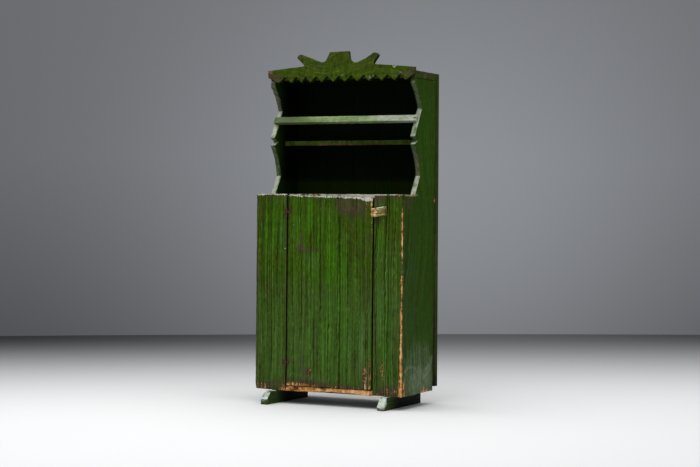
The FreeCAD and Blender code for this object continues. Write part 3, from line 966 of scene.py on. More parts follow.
                # painted shade down the crack
                marks[Mark.GRIME] = np.maximum(marks[Mark.GRIME], np.clip(1.3 * amount, 0.0, 1.0))
                continue
            depth += place.dent * amount
            for mark, share in place.marks.items():
                marks[mark] += share * amount
        points -= normals * np.maximum(depth, LEAST_WEAR)[:, None]
        along += self.worn_back(points, along)
        mesh.vertices.foreach_set("co", points.astype(np.float32).ravel())
        grain = np.stack([rings, along, np.full(len(points), float(timber.seed))], axis=1)
        attribute = mesh.attributes.new("grain", "FLOAT_VECTOR", "POINT")
        attribute.data.foreach_set("vector", grain.astype(np.float32).ravel())
        for layer in LAYERS:
            rows = [np.clip(marks[mark], 0.0, 1.0) for mark in Mark if mark.value[0] == layer]
            attribute = mesh.attributes.new(layer, "FLOAT_COLOR", "POINT")
            attribute.data.foreach_set("color", np.stack(rows, axis=1).astype(np.float32).ravel())

    def worn_back(self, points: np.ndarray, along: np.ndarray) -> np.ndarray:
        """Work out how far each point near an end moves in, because the end has worn unevenly.

        Args:
            points: One row for each place.
            along: Each point's place along the grain.

        Returns:
            The signed moves along the grain.
        """
        timber = self.timber
        across = points[:, self.section()[1]]
        bins = np.round((across - across.min()) / timber.cell).astype(int)
        top = np.full(bins.max() + 1, -np.inf)
        bottom = np.full(bins.max() + 1, np.inf)
        np.maximum.at(top, bins, along)
        np.minimum.at(bottom, bins, along)
        moves = np.zeros(len(points))
        ends = ((top[bins] - along, -timber.rag_top, 8), (along - bottom[bins], timber.rag_foot, 9))
        for gap, rag, seed in ends:
            chipped = np.clip(curve(across, 0.035, timber.seed + seed), 0.0, 1.0)
            chipped += 0.6 * np.clip(curve(across, 0.011, timber.seed + seed + 2), 0.0, 1.0)
            moves += rag * chipped * np.clip(1.0 - gap / END_REACH, 0.0, 1.0)
        return moves


def forged(node: str, seed: int, cell: float = 0.0015, arris: float = 0.0004) -> bpy.types.Mesh:
    """Hammer an iron, made from its node: its arrises rounded and its faces slightly uneven.

    Args:
        node: The node that it stands for.
        seed: Picks its dents.
        cell: Pitch of its mesh.
        arris: Radius of its arrises.

    Returns:
        The finished mesh.
    """
    deepest = 0.0003
    bm = clean_copy(node)
    soften(bm, sharp_edges(bm), arris)
    for axis in Axis:
        slice_up(bm, axis, cell)
    bm.normal_update()
    for vert in bm.verts:
        x, y, z = vert.co
        dent = 0.5 + 0.5 * math.sin(x * 2100 + seed) * math.cos(z * 1700 + y * 1900)
        vert.co -= vert.normal * deepest * dent
    return finished(bm, node + "_forged")


# Sub-assemblies


@dataclass
class Finishes:
    """The materials that the cupboard wears, built once."""

    front: bpy.types.Material
    side: bpy.types.Material
    rack: bpy.types.Material
    runner: bpy.types.Material
    rail: bpy.types.Material
    inside: bpy.types.Material
    button: bpy.types.Material
    brass: bpy.types.Material
    rust: bpy.types.Material
    painted_iron: bpy.types.Material

    @classmethod
    def mixed(cls) -> "Finishes":
        """Mix every finish.

        Returns:
            The finishes.
        """
        groups = {"pine_grain": pine_grain(), "flaking": flaking()}
        looks = {
            "front": PineFinish(
                "front_green_paint", ridge=(0.053, 0.144, 0.003), groove=(0.018, 0.026, 0.0014),
                fresh=(0.052, 0.230, 0.002), cool=(0.086, 0.156, 0.042), warm=(0.092, 0.082, 0.009),
                glint=(0.130, 0.200, 0.050), pale=(0.68, 0.63, 0.54)),
            # a darker copy of the front's paint: painted shade on the side
            "side": PineFinish(
                "side_green_paint", ridge=(0.033, 0.086, 0.005), groove=(0.017, 0.038, 0.003),
                fresh=(0.038, 0.116, 0.004), cool=(0.040, 0.086, 0.022), pale=(0.48, 0.53, 0.40),
                warm=(0.064, 0.072, 0.009), glint=(0.065, 0.120, 0.024), shine=0.02, relief=0.35,
                contrast=0.7, drift=0.8, flecking=0.25, softness=1.0),
            "rack": PineFinish(
                "rack_green_paint", ridge=(0.062, 0.108, 0.005), groove=(0.017, 0.029, 0.0018),
                fresh=(0.076, 0.155, 0.004), cool=(0.044, 0.062, 0.022), pale=(0.42, 0.44, 0.32),
                warm=(0.080, 0.078, 0.012), glint=(0.120, 0.150, 0.050), shine=0.04,
                bare_light=(0.34, 0.18, 0.10), bare_middle=(0.15, 0.060, 0.030), contrast=0.6,
                brushed=0.7, chips=0.3),
            "runner": PineFinish(
                "runner_green_paint", ridge=(0.036, 0.082, 0.016), groove=(0.016, 0.036, 0.006),
                fresh=(0.060, 0.120, 0.030), cool=(0.060, 0.100, 0.050), pale=(0.78, 0.86, 0.77),
                shine=0.02, contrast=0.6, flecking=0.5, softness=0.6, chips=0.3),
            # a brighter copy of the green paint for the up-facing rail: painted top light
            "rail": PineFinish(
                "rail_green_paint", ridge=(0.155, 0.245, 0.062), groove=(0.070, 0.105, 0.030),
                fresh=(0.280, 0.480, 0.110), cool=(0.120, 0.145, 0.082), pale=(0.54, 0.58, 0.46),
                warm=(0.160, 0.190, 0.065), glint=(0.260, 0.340, 0.160), contrast=0.4,
                flecking=0.6, softness=0.8, chips=0.3),
            # a near-black copy of the paint: painted shade for pieces inside
            "inside": PineFinish(
                "dark_old_paint", ridge=(0.006, 0.013, 0.003), groove=(0.003, 0.006, 0.002),
                fresh=(0.030, 0.060, 0.010), cool=(0.008, 0.016, 0.007), warm=(0.008, 0.009, 0.003),
                glint=(0.012, 0.018, 0.008), roughness=0.7, shine=0.04, contrast=0.5, chips=0.0),
            "button": PineFinish(
                "button_cream_paint", ridge=(0.56, 0.47, 0.17), groove=(0.11, 0.085, 0.022),
                fresh=(0.80, 0.74, 0.46), cool=(0.07, 0.10, 0.02), warm=(0.40, 0.26, 0.08),
                glint=(0.60, 0.55, 0.33), pale=(0.92, 0.89, 0.72), contrast=1.3, chips=0.0),
            "brass": IronFinish("rusty_pale_nail", coat=(0.66, 0.52, 0.25), rust=(0.34, 0.20, 0.08),
                                dark=(0.12, 0.07, 0.03), coated=0.75),
            "rust": IronFinish("rusty_iron", coat=(0.03, 0.05, 0.01)),
            "painted_iron": IronFinish("painted_over_iron", coat=(0.040, 0.090, 0.012), coated=0.62),
        }
        return cls(**{part: finish.material(groups) for part, finish in looks.items()})


@dataclass
class Carcass:
    """The sides, the back, the roof, the counter, the floor and the shelf inside."""

    finishes: Finishes
    slot: str = "green_paint"
    side_timber: Timber = Timber(
        Axis.Z, (0.12, -0.19), 11, ring=0.010, groove=0.00045, wander=0.010, cell=0.0035, step=0.007,
        edge_wear=0.2, pale_and_lit_above=0.74, shade_below=0.25, edge_stain=0.50, shade=1.0)
    back_timber: Timber = Timber(
        Axis.Z, (0.25, 0.07), 20, ring=0.006, groove=0.0002, wander=0.004, cell=0.004, step=0.014,
        arris=0.0004, nicks=0.0003, rag_foot=0.0, edge_wear=0.0, shade=1.0)
    flat_timber: Timber = Timber(
        Axis.X, (0.02, 0.10), 31, ring=0.008, groove=0.0004, wander=0.004, cell=0.005, step=0.012,
        skin=0.004, arris=0.0005, shade_below=0.97)
    cleat_timber: Timber = Timber(Axis.Y, (0.01, 0.05), 36, groove=0.0005, cell=0.004, skin=0.004)

    def sides(self) -> None:
        """Weather the two side boards; the right one is stained at its edges and scuffed at its foot."""
        low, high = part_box("right_side")
        front, back, floor = low.y, high.y, low.z
        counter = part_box("counter_board")[1].z
        flank = Face(Axis.X, high.x)
        spot, line = flank.spot, flank.line
        wear = [
            spot(back - 0.006, 0.57, 0.016, 0.42, deep=0.01, stain=0.55),
            spot(front + 0.030, counter - 0.014, 0.09, 0.050, stain=0.60),
            spot(front + 0.055, counter, 0.09, 0.007, deep=0.05, dent=0.0008, pale=0.5, bare=0.55),
            spot(0.04, floor + 0.060, 0.24, 0.22, pale=0.11, fresh=0.4, cool=0.3),
            spot(0.06, floor + 0.050, 0.14, 0.08, pale=0.10),
            spot(0.12, floor, 0.10, 0.030, deep=0.03, dent=0.001, stain=0.75, bare=0.25),
            spot(0.11, floor, 0.10, 0.010, deep=0.03, dent=0.002, bare=0.6),
            spot(front, floor + 0.02, 0.028, 0.050, dent=0.001, bare=0.60, stain=0.6),
            spot(front, floor + 0.01, 0.075, 0.060, stain=0.55),
            spot(0.09, 1.399, 0.20, 0.012, deep=0.03, pale=-1.0),
            spot(0.03, 1.15, 0.30, 0.26, fresh=0.6),
            spot(0.09, 0.70, 0.10, 0.30, fresh=0.5),
            spot(-0.06, 0.50, 0.07, 0.42, cool=0.40),
            spot(0.187, 0.882, 0.005, 0.010, deep=0.01, bare=0.9),
            line(((-0.100, floor + 0.105), (-0.060, floor + 0.122), (-0.010, floor + 0.118),
                  (0.025, floor + 0.098)), 0.007, pale=0.10),
            line(((0.105, floor + 0.095), (0.150, floor + 0.120), (0.180, floor + 0.150)), 0.007,
                 pale=0.12),
            line(((0.085, floor + 0.060), (0.135, floor + 0.085), (0.175, floor + 0.125)), 0.007,
                 pale=0.14),
        ]
        Board("right_side", self.side_timber, wear).dress(self.finishes.side, self.slot, "carcass")
        timber = replace(self.side_timber, pith=(-0.12, 0.17), seed=12)
        Board("left_side", timber).dress(self.finishes.side, self.slot, "carcass")

    def back(self) -> None:
        """Weather the back boards, darkened in front as painted shade and never painted behind."""
        nodes = ("back_board_1", "back_board_2", "back_board_3", "back_board_4")
        outer = Face(Axis.X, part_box("back_board_4")[1].x)
        edge_wear = [
            outer.spot(0.19, 0.75, 0.018, 0.90, stain=0.42),
            outer.spot(0.20, 0.25, 0.030, 0.30, stain=0.40, grime=0.25),
            outer.spot(0.215, 0.75, 0.016, 0.90, grime=0.35, cool=0.6),
            outer.spot(0.20, 0.08, 0.03, 0.06, stain=0.8, grime=0.4),
        ]
        for index, node in enumerate(nodes, 1):
            low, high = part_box(node)
            seams = [Face(Axis.Y, high.y).line(((x, low.z), (x, high.z)), 0.0035, grime=0.8)
                     for x in (low.x, high.x)]
            pith = (0.25 * (-1) ** index, 0.07 + 0.01 * index)
            timber = replace(self.back_timber, pith=pith, seed=20 + index)
            wear = seams + edge_wear if node == nodes[-1] else seams
            Board(node, timber, wear).dress(self.finishes.side, self.slot, "carcass")

    def flats(self) -> None:
        """Weather the boards that lie flat, and the cleats."""
        counter, bottom, roof, shelf = (
            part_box(node) for node in ("counter_board", "bottom_board", "roof_board", "rack_shelf"))
        rim, sill, lip = (Face(Axis.Y, box[0].y) for box in (counter, bottom, shelf))
        arris = [rim.spot(0.0, counter[1].z, 1.0, 0.022, 0.012, pale=0.78, bare=0.05)]
        trodden = [
            sill.spot(0.0, (bottom[0].z + bottom[1].z) / 2, 1.0, 0.05, bare=0.86, stain=0.8),
            sill.spot(0.0, bottom[1].z, 1.0, 0.005, 0.01, grime=0.5),
            sill.spot(0.05, bottom[0].z, 0.12, 0.009, dent=0.004, grime=0.3),
        ]
        end = [Face(Axis.X, roof[1].x).spot(0.09, roof[1].z, 0.14, 0.040, stain=0.68, pale=0.12)]
        browned = [
            lip.spot(0.20, shelf[1].z, 0.22, 0.05, 0.01, grime=0.35),
            lip.spot(-0.05, shelf[0].z, 0.30, 0.012, 0.01, stain=0.95, bare=0.34, grime=0.12),
        ]
        rows = (
            ("counter_board", (0.02, 0.10), 31, self.finishes.front, "worn_green_paint", arris),
            ("bottom_board", (0.05, 0.09), 32, self.finishes.front, "worn_green_paint", trodden),
            ("inner_shelf", (-0.04, 0.08), 33, self.finishes.inside, "bare_pine", ()),
            ("roof_board", (0.03, -0.09), 34, self.finishes.rack, self.slot, end),
            ("rack_shelf", (0.20, 0.02), 35, self.finishes.rack, self.slot, browned),
        )
        for node, pith, seed, finish, slot, wear in rows:
            timber = replace(self.flat_timber, pith=pith, seed=seed)
            Board(node, timber, wear).dress(finish, slot, "carcass")
        for node, seed in (("left_cleat", 36), ("right_cleat", 37)):
            timber = replace(self.cleat_timber, seed=seed)
            Board(node, timber).dress(self.finishes.inside, "bare_pine", "carcass")


@dataclass
class Front:
    """The two fixed front boards and the door with its battens."""

    finishes: Finishes
    slot: str = "green_paint"
    crack_width: float = 0.0034
    crack_depth: float = 0.010
    latch_drop: float = 0.013
    gap_in: float = 0.013
    gap_reach: Place = (0.004, 1.2, 0.0125)
    timber: Timber = Timber(
        Axis.Z, (-0.42, 0.16), 41, cell=0.0018, step=0.006, edge_wear=0.12, rim_stain=0.35)
    batten_timber: Timber = Timber(Axis.X, (0.03, 0.06), 44, groove=0.0006, cell=0.004, skin=0.004)

    def joint(self, board: str, x: float) -> Patch:
        """Darken a board's narrow face beside the gap of the door, as painted shade in the gap."""
        low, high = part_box(board)
        return Face(Axis.Y, low.y + self.gap_in).spot(x, (low.z + high.z) / 2, *self.gap_reach, grime=1.0)

    def right_stile(self) -> None:
        """Weather the right fixed board, split at its top and rubbed bare down its outer arris."""
        low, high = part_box("right_stile")
        face = Face(Axis.Y, low.y)
        spot, line = face.spot, face.line
        crack = ((0.266, 0.545), (0.267, 0.630), (0.273, 0.756), (0.276, 0.839), (0.277, 0.905))
        hairline = ((0.292, 0.058), (0.291, 0.10), (0.287, 0.296), (0.287, 0.36))
        rubbed = (
            (0.050, 0.560, 0.0150, {"stain": 0.75}),
            (0.560, 0.900, 0.0090, {"stain": 0.80}),
            (0.826, 0.900, 0.0060, {"stain": 1.0, "bare": 0.54, "grime": 0.20}),
            (0.650, 0.822, 0.0084, {"bare": 1.0}),
            (0.565, 0.640, 0.0064, {"bare": 0.58, "stain": 0.6}),
            (0.430, 0.560, 0.0068, {"bare": 0.85, "stain": 0.6}),
            (0.230, 0.430, 0.0100, {"bare": 1.0}),
            (0.120, 0.230, 0.0125, {"bare": 1.0}),
            (0.040, 0.120, 0.0170, {"bare": 0.80, "stain": 0.9}),
        )
        wear = [
            Split(low.y, crack, self.crack_width, self.crack_depth),
            Split(low.y, hairline),
            self.joint("right_stile", low.x),
            line(((low.x, low.z), (low.x, high.z)), 0.0030, grime=0.45, stain=0.4),
            *(line(((high.x, foot), (high.x, top)), width, **shares) for foot, top, width, shares in rubbed),
            line(((low.x, high.z), (high.x, high.z)), 0.005, pale=0.80, bare=0.08),
            spot(0.335, high.z, 0.020, 0.008, bare=0.45),
            spot(0.280, high.z, 0.08, 0.042, stain=0.62),
            spot(0.239, 0.880, 0.034, 0.028, stain=0.55, cool=0.7),
            spot(0.258, 0.185, 0.008, 0.040, bare=0.32, stain=0.7),
            spot(0.264, 0.150, 0.005, 0.030, bare=0.42, stain=0.7),
            spot(0.235, 0.180, 0.006, 0.040, stain=0.7, bare=0.12),
            # stain, and painted shadow below the turn button
            spot(0.232, 0.794, 0.020, 0.020, stain=0.85, grime=0.35),
            spot(0.300, 0.062, 0.10, 0.052, dent=0.001, stain=1.0, bare=0.14),
            spot(0.300, 0.056, 0.10, 0.012, dent=0.001, bare=0.15, grime=0.2),
            spot(0.30, 0.45, 0.10, 0.26, cool=0.25),
            spot(0.25, 0.60, 0.03, 0.28, cool=0.2, fresh=0.3),
            spot(0.28, 0.30, 0.03, 0.16, fresh=0.5),
            # paler towards the foot: painted floor-bounce light, with a cooler tint of the paint
            spot(0.0, 0.08, 0.80, 0.52, cool=0.45, fresh=0.10),
        ]
        Board("right_stile", self.timber, wear).dress(self.finishes.front, self.slot, "carcass")

    def left_stile(self) -> None:
        """Weather the left fixed board, pale along its top and stained at its foot."""
        low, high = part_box("left_stile")
        face = Face(Axis.Y, low.y)
        spot, line = face.spot, face.line
        wear = [
            Split(low.y, ((-0.270, 0.060), (-0.271, 0.30), (-0.276, 0.70), (-0.276, 0.90))),
            self.joint("left_stile", high.x),
            line(((high.x, low.z), (high.x, high.z)), 0.0035, grime=0.60, stain=0.4),
            line(((-0.345, high.z), (high.x, high.z)), 0.0075, pale=0.85),
            spot(-0.250, 0.890, 0.050, 0.032, stain=0.48, bare=0.1),
            spot(-0.206, 0.830, 0.015, 0.018, stain=0.7),
            spot(-0.206, 0.183, 0.015, 0.018, stain=0.7),
            spot(-0.350, 0.056, 0.014, 0.014, dent=0.004, bare=0.30, stain=0.9),
            spot(-0.325, 0.056, 0.050, 0.034, dent=0.001, bare=0.20, stain=0.90),
            spot(-0.26, 0.056, 0.12, 0.055, stain=0.78, bare=0.1),
            spot(-0.212, 0.056, 0.026, 0.030, bare=0.40, stain=0.9),
            spot(-0.342, 0.42, 0.010, 0.35, stain=0.40),
            spot(-0.335, 0.85, 0.012, 0.07, stain=0.35),
            spot(-0.220, 0.13, 0.020, 0.08, stain=0.25),
            spot(-0.27, 0.76, 0.06, 0.14, fresh=0.45),
            spot(-0.222, 0.72, 0.010, 0.10, cool=0.8),
            # paler towards the foot: painted floor-bounce light, with a cooler tint of the paint
            spot(0.0, 0.08, 0.80, 0.52, cool=0.38, fresh=0.10),
        ]
        timber = replace(self.timber, pith=(0.40, 0.18), seed=42)
        Board("left_stile", timber, wear).dress(self.finishes.front, self.slot, "carcass")

    def door(self) -> None:
        """Weather the wide door board and its battens."""
        low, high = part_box("door_board")
        latch_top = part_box("counter_board")[1].z - self.latch_drop
        face = Face(Axis.Y, low.y)
        spot, line = face.spot, face.line
        wear = [
            self.joint("door_board", low.x),
            self.joint("door_board", high.x),
            line(((low.x, low.z), (low.x, high.z)), 0.0035, grime=0.60, stain=0.4),
            line(((high.x, 0.22), (high.x, 0.66)), 0.0030, grime=0.50, stain=0.4),
            line(((low.x, high.z), (high.x, latch_top)), 0.0060, pale=0.85, bare=0.05),
            line(((0.05, high.z - 0.007), (high.x, latch_top - 0.003)), 0.008, pale=0.52),
            line(((0.165, 0.886), (0.195, 0.880), (0.206, 0.884)), 0.008, pale=1.0, bare=0.15),
            spot(0.110, 0.862, 0.105, 0.062, stain=0.70),
            spot(0.120, 0.800, 0.075, 0.080, stain=0.30),
            spot(-0.130, 0.705, 0.014, 0.070, stain=0.62),
            spot(-0.132, 0.664, 0.018, 0.020, stain=0.8, bare=0.2),
            spot(-0.085, 0.668, 0.065, 0.016, stain=0.68, bare=0.08),
            spot(-0.128, 0.188, 0.014, 0.060, stain=0.28, cool=1.0, grime=0.15),
            spot(-0.100, 0.150, 0.034, 0.024, stain=0.52),
            spot(-0.084, 0.140, 0.015, 0.022, stain=0.9, bare=0.18),
            spot(-0.080, 0.112, 0.014, 0.024, pale=0.12, stain=0.4),
            spot(0.168, 0.340, 0.014, 0.070, cool=1.0),
            spot(0.162, 0.20, 0.020, 0.10, cool=0.7),
            spot(-0.08, 0.62, 0.05, 0.05, cool=0.6),
            spot(0.205, 0.835, 0.0050, 0.060, dent=0.0006, bare=0.60, stain=0.8),
            spot(0.207, 0.730, 0.0040, 0.070, dent=0.0006, bare=0.30, stain=0.8),
            spot(0.180, 0.830, 0.0030, 0.050, stain=0.9, bare=0.30),
            spot(0.186, 0.560, 0.012, 0.180, stain=0.42),
            spot(0.160, 0.560, 0.006, 0.120, stain=0.38),
            spot(0.203, 0.140, 0.0060, 0.090, dent=0.0006, bare=0.50, stain=0.9),
            spot(0.180, 0.125, 0.012, 0.060, bare=0.34, stain=0.6, pale=0.15),
            spot(0.176, 0.140, 0.024, 0.080, stain=0.52),
            spot(0.0, low.z, 0.30, 0.014, bare=0.27, stain=0.60),
            spot(0.0, low.z, 0.30, 0.032, stain=0.60),
            spot(-0.150, low.z, 0.080, 0.022, bare=0.32, stain=0.50),
            spot(-0.130, low.z, 0.120, 0.050, stain=0.60),
            spot(-0.187, 0.830, 0.012, 0.016, stain=0.9),
            spot(-0.187, 0.183, 0.012, 0.016, stain=0.9),
            spot(-0.02, 0.68, 0.13, 0.20, fresh=0.60),
            spot(0.04, 0.60, 0.05, 0.12, fresh=0.50),
            spot(-0.12, 0.80, 0.07, 0.12, fresh=0.40),
            spot(0.04, 0.30, 0.09, 0.20, fresh=0.30),
            # paler towards the foot: painted floor-bounce light, with a cooler tint of the paint
            spot(0.0, 0.08, 0.80, 0.52, cool=0.55, fresh=0.20),
        ]
        timber = replace(self.timber, pith=(-0.46, 0.14), seed=43, cell=0.0019, rag_top=0.0030,
                         rag_foot=0.0003)
        Board("door_board", timber, wear).dress(self.finishes.front, self.slot, "door")
        for node, seed in (("upper_batten", 44), ("lower_batten", 45)):
            timber = replace(self.batten_timber, seed=seed)
            Board(node, timber).dress(self.finishes.inside, "bare_pine", "door")


@dataclass
class Rack:
    """The cornice and the leaning rail of the open rack."""

    finishes: Finishes
    slot: str = "green_paint"
    cornice_timber: Timber = Timber(
        Axis.X, (0.05, 0.10), 51, ring=0.007, groove=0.0003, wander=0.010, cell=0.004, step=0.006,
        skin=0.004, nicks=0.0008, edge_wear=0.25, shade_below=0.8)
    rail_timber: Timber = Timber(
        Axis.X, (0.25, -0.30), 52, ring=0.006, groove=0.0003, wander=0.0006, cell=0.004, step=0.010,
        skin=0.004, edge_wear=0.2, shade_below=0.5)

    def cornice(self) -> None:
        """Weather the sawtooth cornice, worn brown and round at both ends."""
        low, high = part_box("cornice")
        face = Face(Axis.Y, low.y)
        spot = face.spot
        wear = [
            spot(low.x, 1.432, 0.034, 0.030, deep=0.03, dent=0.001, stain=0.95, bare=0.38),
            spot(low.x + 0.04, 1.412, 0.05, 0.026, deep=0.03, stain=0.60),
            spot(high.x, 1.434, 0.050, 0.044, deep=0.03, dent=0.001, stain=0.85),
            spot(0.290, 1.410, 0.038, 0.018, deep=0.03, stain=0.60, pale=0.22),
            spot(0.150, 1.409, 0.030, 0.014, stain=0.6, pale=0.26),
            spot(0.012, 1.412, 0.020, 0.010, pale=0.25),
            face.line(((0.250, 1.452), (0.256, 1.443), (0.264, 1.450)), 0.0035, pale=0.95),
            spot(0.225, 1.455, 0.030, 0.012, stain=0.6),
            spot(0.0, 1.42, 0.17, 0.03, fresh=0.40),
            spot(-0.20, 1.43, 0.07, 0.02, fresh=0.25),
            spot(-0.27, 1.425, 0.09, 0.035, stain=0.30),
            spot(0.20, 1.42, 0.10, 0.03, fresh=0.55),
            spot(0.0, 1.51, 0.05, 0.03, stain=0.35),
            spot(-0.19, 1.505, 0.04, 0.030, stain=0.45, cool=0.3),
            spot(0.17, 1.500, 0.05, 0.025, stain=0.50, cool=0.3),
            spot(0.08, 1.440, 0.05, 0.020, stain=0.40),
        ]
        Board("cornice", self.cornice_timber, wear).dress(self.finishes.rack, self.slot, "carcass")

    def rail(self) -> None:
        """Weather the plate rail, rubbed pale where hands and plates have worn it."""
        low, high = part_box("plate_rail")
        spot = Face(Axis.Y, (low.y + high.y) / 2).spot
        wear = [
            spot(0.32, high.z, 0.22, 0.05, deep=0.05, pale=0.66),
            spot(0.02, high.z, 0.24, 0.05, deep=0.05, fresh=1.0, pale=0.26),
            spot(-0.30, high.z, 0.10, 0.05, deep=0.05, cool=0.8, stain=0.2),
        ]
        Board("plate_rail", self.rail_timber, wear).dress(self.finishes.rail, self.slot, "carcass")


@dataclass
class Fittings:
    """The runners, the turn button, the hinges and the nails."""

    finishes: Finishes
    hidden_nails: tuple[str, ...] = ("cleat_nails", "runner_nails", "roof_nails", "back_nails")
    nail_cell: float = 0.004
    nail_arris: float = 0.0006
    runner_timber: Timber = Timber(
        Axis.Y, (0.05, 0.09), 61, ring=0.007, groove=0.0006, wander=0.001, cell=0.004, step=0.006,
        skin=0.004, nicks=0.0008, edge_wear=0.25)
    button_timber: Timber = Timber(
        Axis.X, (0.05, 0.06), 71, ring=0.005, groove=0.0005, wander=0.0005, cell=0.0022, step=0.003,
        skin=0.0022, nicks=0.0008, pale_and_lit_above=0.95)

    def runners(self) -> None:
        """Weather the two sledge runners, rubbed pale on their sloping noses, with painted shade on their
        sides under the body.
        """
        for node, seed, rubbed in (("left_runner", 61, 0.15), ("right_runner", 62, 0.75)):
            low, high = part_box(node)
            spot = Face(Axis.X, (low.x + high.x) / 2).spot
            wear = [
                spot(low.y + 0.010, 0.034, 0.030, 0.026, deep=0.05, pale=rubbed),
                spot(low.y, 0.012, 0.012, 0.020, deep=0.05, pale=0.02 + 0.40 * rubbed),
                spot(low.y + 0.04, 0.0, 0.10, 0.008, deep=0.05, stain=0.6),
                # painted shade on the runner's side under the body
                spot(0.07, 0.03, 0.20, 0.09, deep=0.05, grime=1.0),
            ]
            timber = replace(self.runner_timber, seed=seed, pale_and_lit_above=0.50 + 0.27 * rubbed)
            Board(node, timber, wear).dress(self.finishes.runner, "green_paint", "carcass")

    def button(self) -> None:
        """Whittle the turn button, with a painted highlight along its top."""
        low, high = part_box("turn_button")
        face = Face(Axis.Y, low.y)
        spot, line = face.spot, face.line
        wear = [
            # painted highlight: paler, fresher cream along the top
            spot((low.x + high.x) / 2, high.z, 0.05, 0.016, deep=0.03, fresh=0.9),
            line(((low.x, high.z - 0.006), (high.x - 0.014, high.z)), 0.008, pale=0.95),
            line(((low.x, low.z + 0.004), (low.x, high.z - 0.006)), 0.006, pale=0.8),
            spot(low.x + 0.017, (low.z + high.z) / 2, 0.006, 0.040, bare=1.0),
            spot(high.x, (low.z + high.z) / 2, 0.008, 0.030, deep=0.03, cool=0.8),
            spot((low.x + high.x) / 2, low.z, 0.05, 0.008, deep=0.03, stain=0.4),
        ]
        Board("turn_button", self.button_timber, wear).dress(
            self.finishes.button, "cream_paint", "turn_button")

    def irons(self) -> None:
        """Forge the hinges and the nails."""
        rust, painted = self.finishes.rust, self.finishes.painted_iron
        for index, level in enumerate(("upper", "lower")):
            pintle, eye = level + "_hinge_pintle", level + "_hinge_eye"
            show(forged(pintle, 80 + index), pintle, rust, "rusty_iron", "carcass")
            show(forged(eye, 82 + index), eye, rust, "rusty_iron", "door")
        show(forged("button_nail", 84), "button_nail", self.finishes.brass, "rusty_iron", "carcass")
        for index, node in enumerate(sorted(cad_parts)):
            if node.endswith("_nails"):
                body = "door" if node == "batten_nails" else "carcass"
                finish = rust if node in self.hidden_nails else painted
                mesh = forged(node, 90 + index, self.nail_cell, self.nail_arris)
                show(mesh, node, finish, "rusty_iron", body)


# The studio


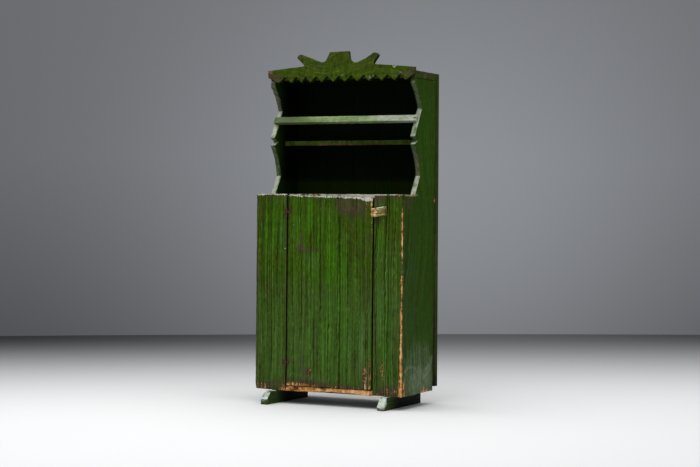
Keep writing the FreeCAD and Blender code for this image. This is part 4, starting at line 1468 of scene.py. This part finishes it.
@dataclass(frozen=True)
class Studio:
    """A plain pale floor, soft lamps and the photograph's viewpoint."""

    eye: Place = (3.403, -6.670, 0.833)
    yaw: float = math.radians(26.78)
    pitch: float = math.radians(-0.74)
    roll: float = math.radians(0.57)
    focal_pixels: float = 1731.2
    picture_width: float = 700.0
    sensor_width: float = 36.0
    far_clip: float = 200.0
    ambient: float = 0.45
    floor_radius: float = 24.0
    floor_behind: float = 4.15
    floor_yaw: float = math.radians(38.3)

    def sideways(self) -> Place:
        """Give the level direction to the camera's right."""
        return math.cos(self.yaw), math.sin(self.yaw), 0.0

    def camera(self) -> None:
        """Stand the camera at the photograph's viewing angle."""
        level = Vector(self.sideways())
        forward = Vector((-math.sin(self.yaw) * math.cos(self.pitch),
                          math.cos(self.yaw) * math.cos(self.pitch), math.sin(self.pitch)))
        upright = level.cross(forward)
        right = level * math.cos(self.roll) + upright * math.sin(self.roll)
        up = upright * math.cos(self.roll) - level * math.sin(self.roll)
        turn = Matrix((right, up, -forward)).transposed().to_4x4()
        data = bpy.data.cameras.new("camera")
        data.sensor_width = self.sensor_width
        data.lens = self.sensor_width * self.focal_pixels / self.picture_width
        data.clip_end = self.far_clip
        camera = bpy.data.objects.new("camera", data)
        camera.matrix_world = Matrix.Translation(self.eye) @ turn
        bpy.context.scene.collection.objects.link(camera)
        bpy.context.scene.camera = camera

    def lamp(self, name: str, place: Place, aim: Place, size: float, power: float) -> None:
        """Hang a square soft lamp.

        Args:
            name: The lamp's name.
            place: Where it hangs.
            aim: The point that it faces.
            size: Length of its side.
            power: Its power in watts.
        """
        data = bpy.data.lights.new(name, "AREA")
        data.size = size
        data.energy = power
        lamp = bpy.data.objects.new(name, data)
        lamp.location = place
        lamp.rotation_euler = (Vector(aim) - Vector(place)).to_track_quat("-Z", "Y").to_euler()
        bpy.context.scene.collection.objects.link(lamp)

    def bell(self, wiring: Wiring, value: Socket, middle: float, width: float) -> Socket:
        """Shape a value into a smooth hump.

        Args:
            wiring: The wiring of the value's nodes.
            value: The value.
            middle: Where the hump is 1.
            width: How far from its middle it has fallen to about a third.

        Returns:
            The hump.
        """
        offset = wiring.math("DIVIDE", wiring.math("SUBTRACT", value, middle), width)
        squared = wiring.math("MULTIPLY", offset, offset)
        return wiring.math("EXPONENT", wiring.math("MULTIPLY", squared, -1.0))

    def floor(self) -> None:
        """Lay a round floor, white by the cupboard and painted darker towards the far rim behind it as light
        falloff, with a painted pool of light across its far part.
        """
        white, far_grey, far_painted_glow = (0.88, 0.88, 0.88), (0.030, 0.030, 0.031), (0.150, 0.150, 0.155)
        behind = Vector((-math.sin(self.floor_yaw), math.cos(self.floor_yaw), 0.0))
        centre = behind * (self.floor_behind - self.floor_radius)
        bm = bmesh.new()
        bmesh.ops.create_circle(bm, cap_ends=True, segments=256, radius=self.floor_radius,
                                matrix=Matrix.Translation(centre))
        mesh = finished(bm, "floor")
        material, wiring, shader = start_material("floor_paint")
        place = wiring.node("TexCoord").outputs["Object"]
        depth = wiring.along(place, tuple(behind))
        # painted light: the far floor darkens as light falls off, paler where a pool of light is painted
        painted_glow = self.bell(wiring, wiring.along(place, self.sideways()), 0.77, 1.94)
        grey = wiring.node("MapRange", {"interpolation_type": "SMOOTHSTEP"}, Value=depth, From_Min=-0.6,
                           From_Max=self.floor_behind).outputs[0]
        tone = wiring.mix(grey, white, wiring.mix(painted_glow, far_grey, far_painted_glow))
        wiring.feed(shader.inputs["Base Color"], tone)
        rough = wiring.stretch(wiring.noise(place, 3.0), 0.0, 1.0, 0.75, 0.85)
        wiring.feed(shader.inputs["Roughness"], rough)
        shader.inputs["Specular IOR Level"].default_value = 0.1
        mesh.materials.append(material)
        floor = bpy.data.objects.new("floor", mesh)
        bpy.context.scene.collection.objects.link(floor)

    def air(self) -> None:
        """Fill the room with weak grey light, and show the camera a plain grey wall with a painted pool of
        light in the middle.
        """
        world = bpy.data.worlds.new("room")
        world.use_nodes = True
        bpy.context.scene.world = world
        wiring = Wiring(world.node_tree)
        plain = world.node_tree.nodes["Background"]
        plain.inputs["Color"].default_value = (0.95, 0.98, 1.0, 1.0)
        plain.inputs["Strength"].default_value = self.ambient
        ray = wiring.node("TexCoord").outputs["Generated"]
        height = wiring.node("SeparateXYZ", Vector=ray).outputs["Z"]
        aside = wiring.along(ray, self.sideways())
        # painted pool of light on the wall behind the cupboard
        painted_glow = wiring.math("MULTIPLY", self.bell(wiring, aside, 0.046, 0.159),
                           self.bell(wiring, height, -0.008, 0.15))
        rise = wiring.math("ADD", wiring.stretch(height, -0.075, 0.03, 0.068, 0.130),
                           wiring.stretch(height, 0.03, 0.12, 0.0, 0.010))
        shade = wiring.math("MULTIPLY_ADD", painted_glow, 0.158, wiring.math("MULTIPLY", rise, 1.03))
        wall = wiring.node("Background", Color=(0.96, 1.0, 1.07), Strength=shade)
        path = wiring.node("LightPath").outputs
        seen = wiring.math("MAXIMUM", path["Is Camera Ray"],
                           wiring.math("MAXIMUM", path["Is Glossy Ray"], path["Is Transmission Ray"]))
        both = wiring.node("MixShader")
        for socket, value in zip(both.inputs, (seen, plain.outputs[0], wall.outputs[0])):
            wiring.feed(socket, value)
        wiring.feed(world.node_tree.nodes["World Output"].inputs["Surface"], both.outputs[0])

    def build(self) -> None:
        """Set the whole studio up."""
        bpy.context.scene.view_settings.view_transform = "Standard"
        self.camera()
        self.floor()
        self.air()
        self.lamp("overhead", (-0.2, -0.5, 4.2), (0.0, -0.3, 0.6), 4.2, 150.0)
        self.lamp("front", (0.4, -3.6, 3.7), (0.0, 0.0, 0.6), 1.8, 28.0)


def main() -> None:
    """Build the studio and dress every piece of the cupboard."""
    logging.basicConfig(level=logging.INFO, format="%(name)s: %(message)s")
    Studio().build()
    finishes = Finishes.mixed()
    carcass = Carcass(finishes)
    carcass.sides()
    carcass.back()
    carcass.flats()
    front = Front(finishes)
    front.right_stile()
    front.left_stile()
    front.door()
    rack = Rack(finishes)
    rack.cornice()
    rack.rail()
    fittings = Fittings(finishes)
    fittings.runners()
    fittings.button()
    fittings.irons()


if __name__ == "__main__":
    main()
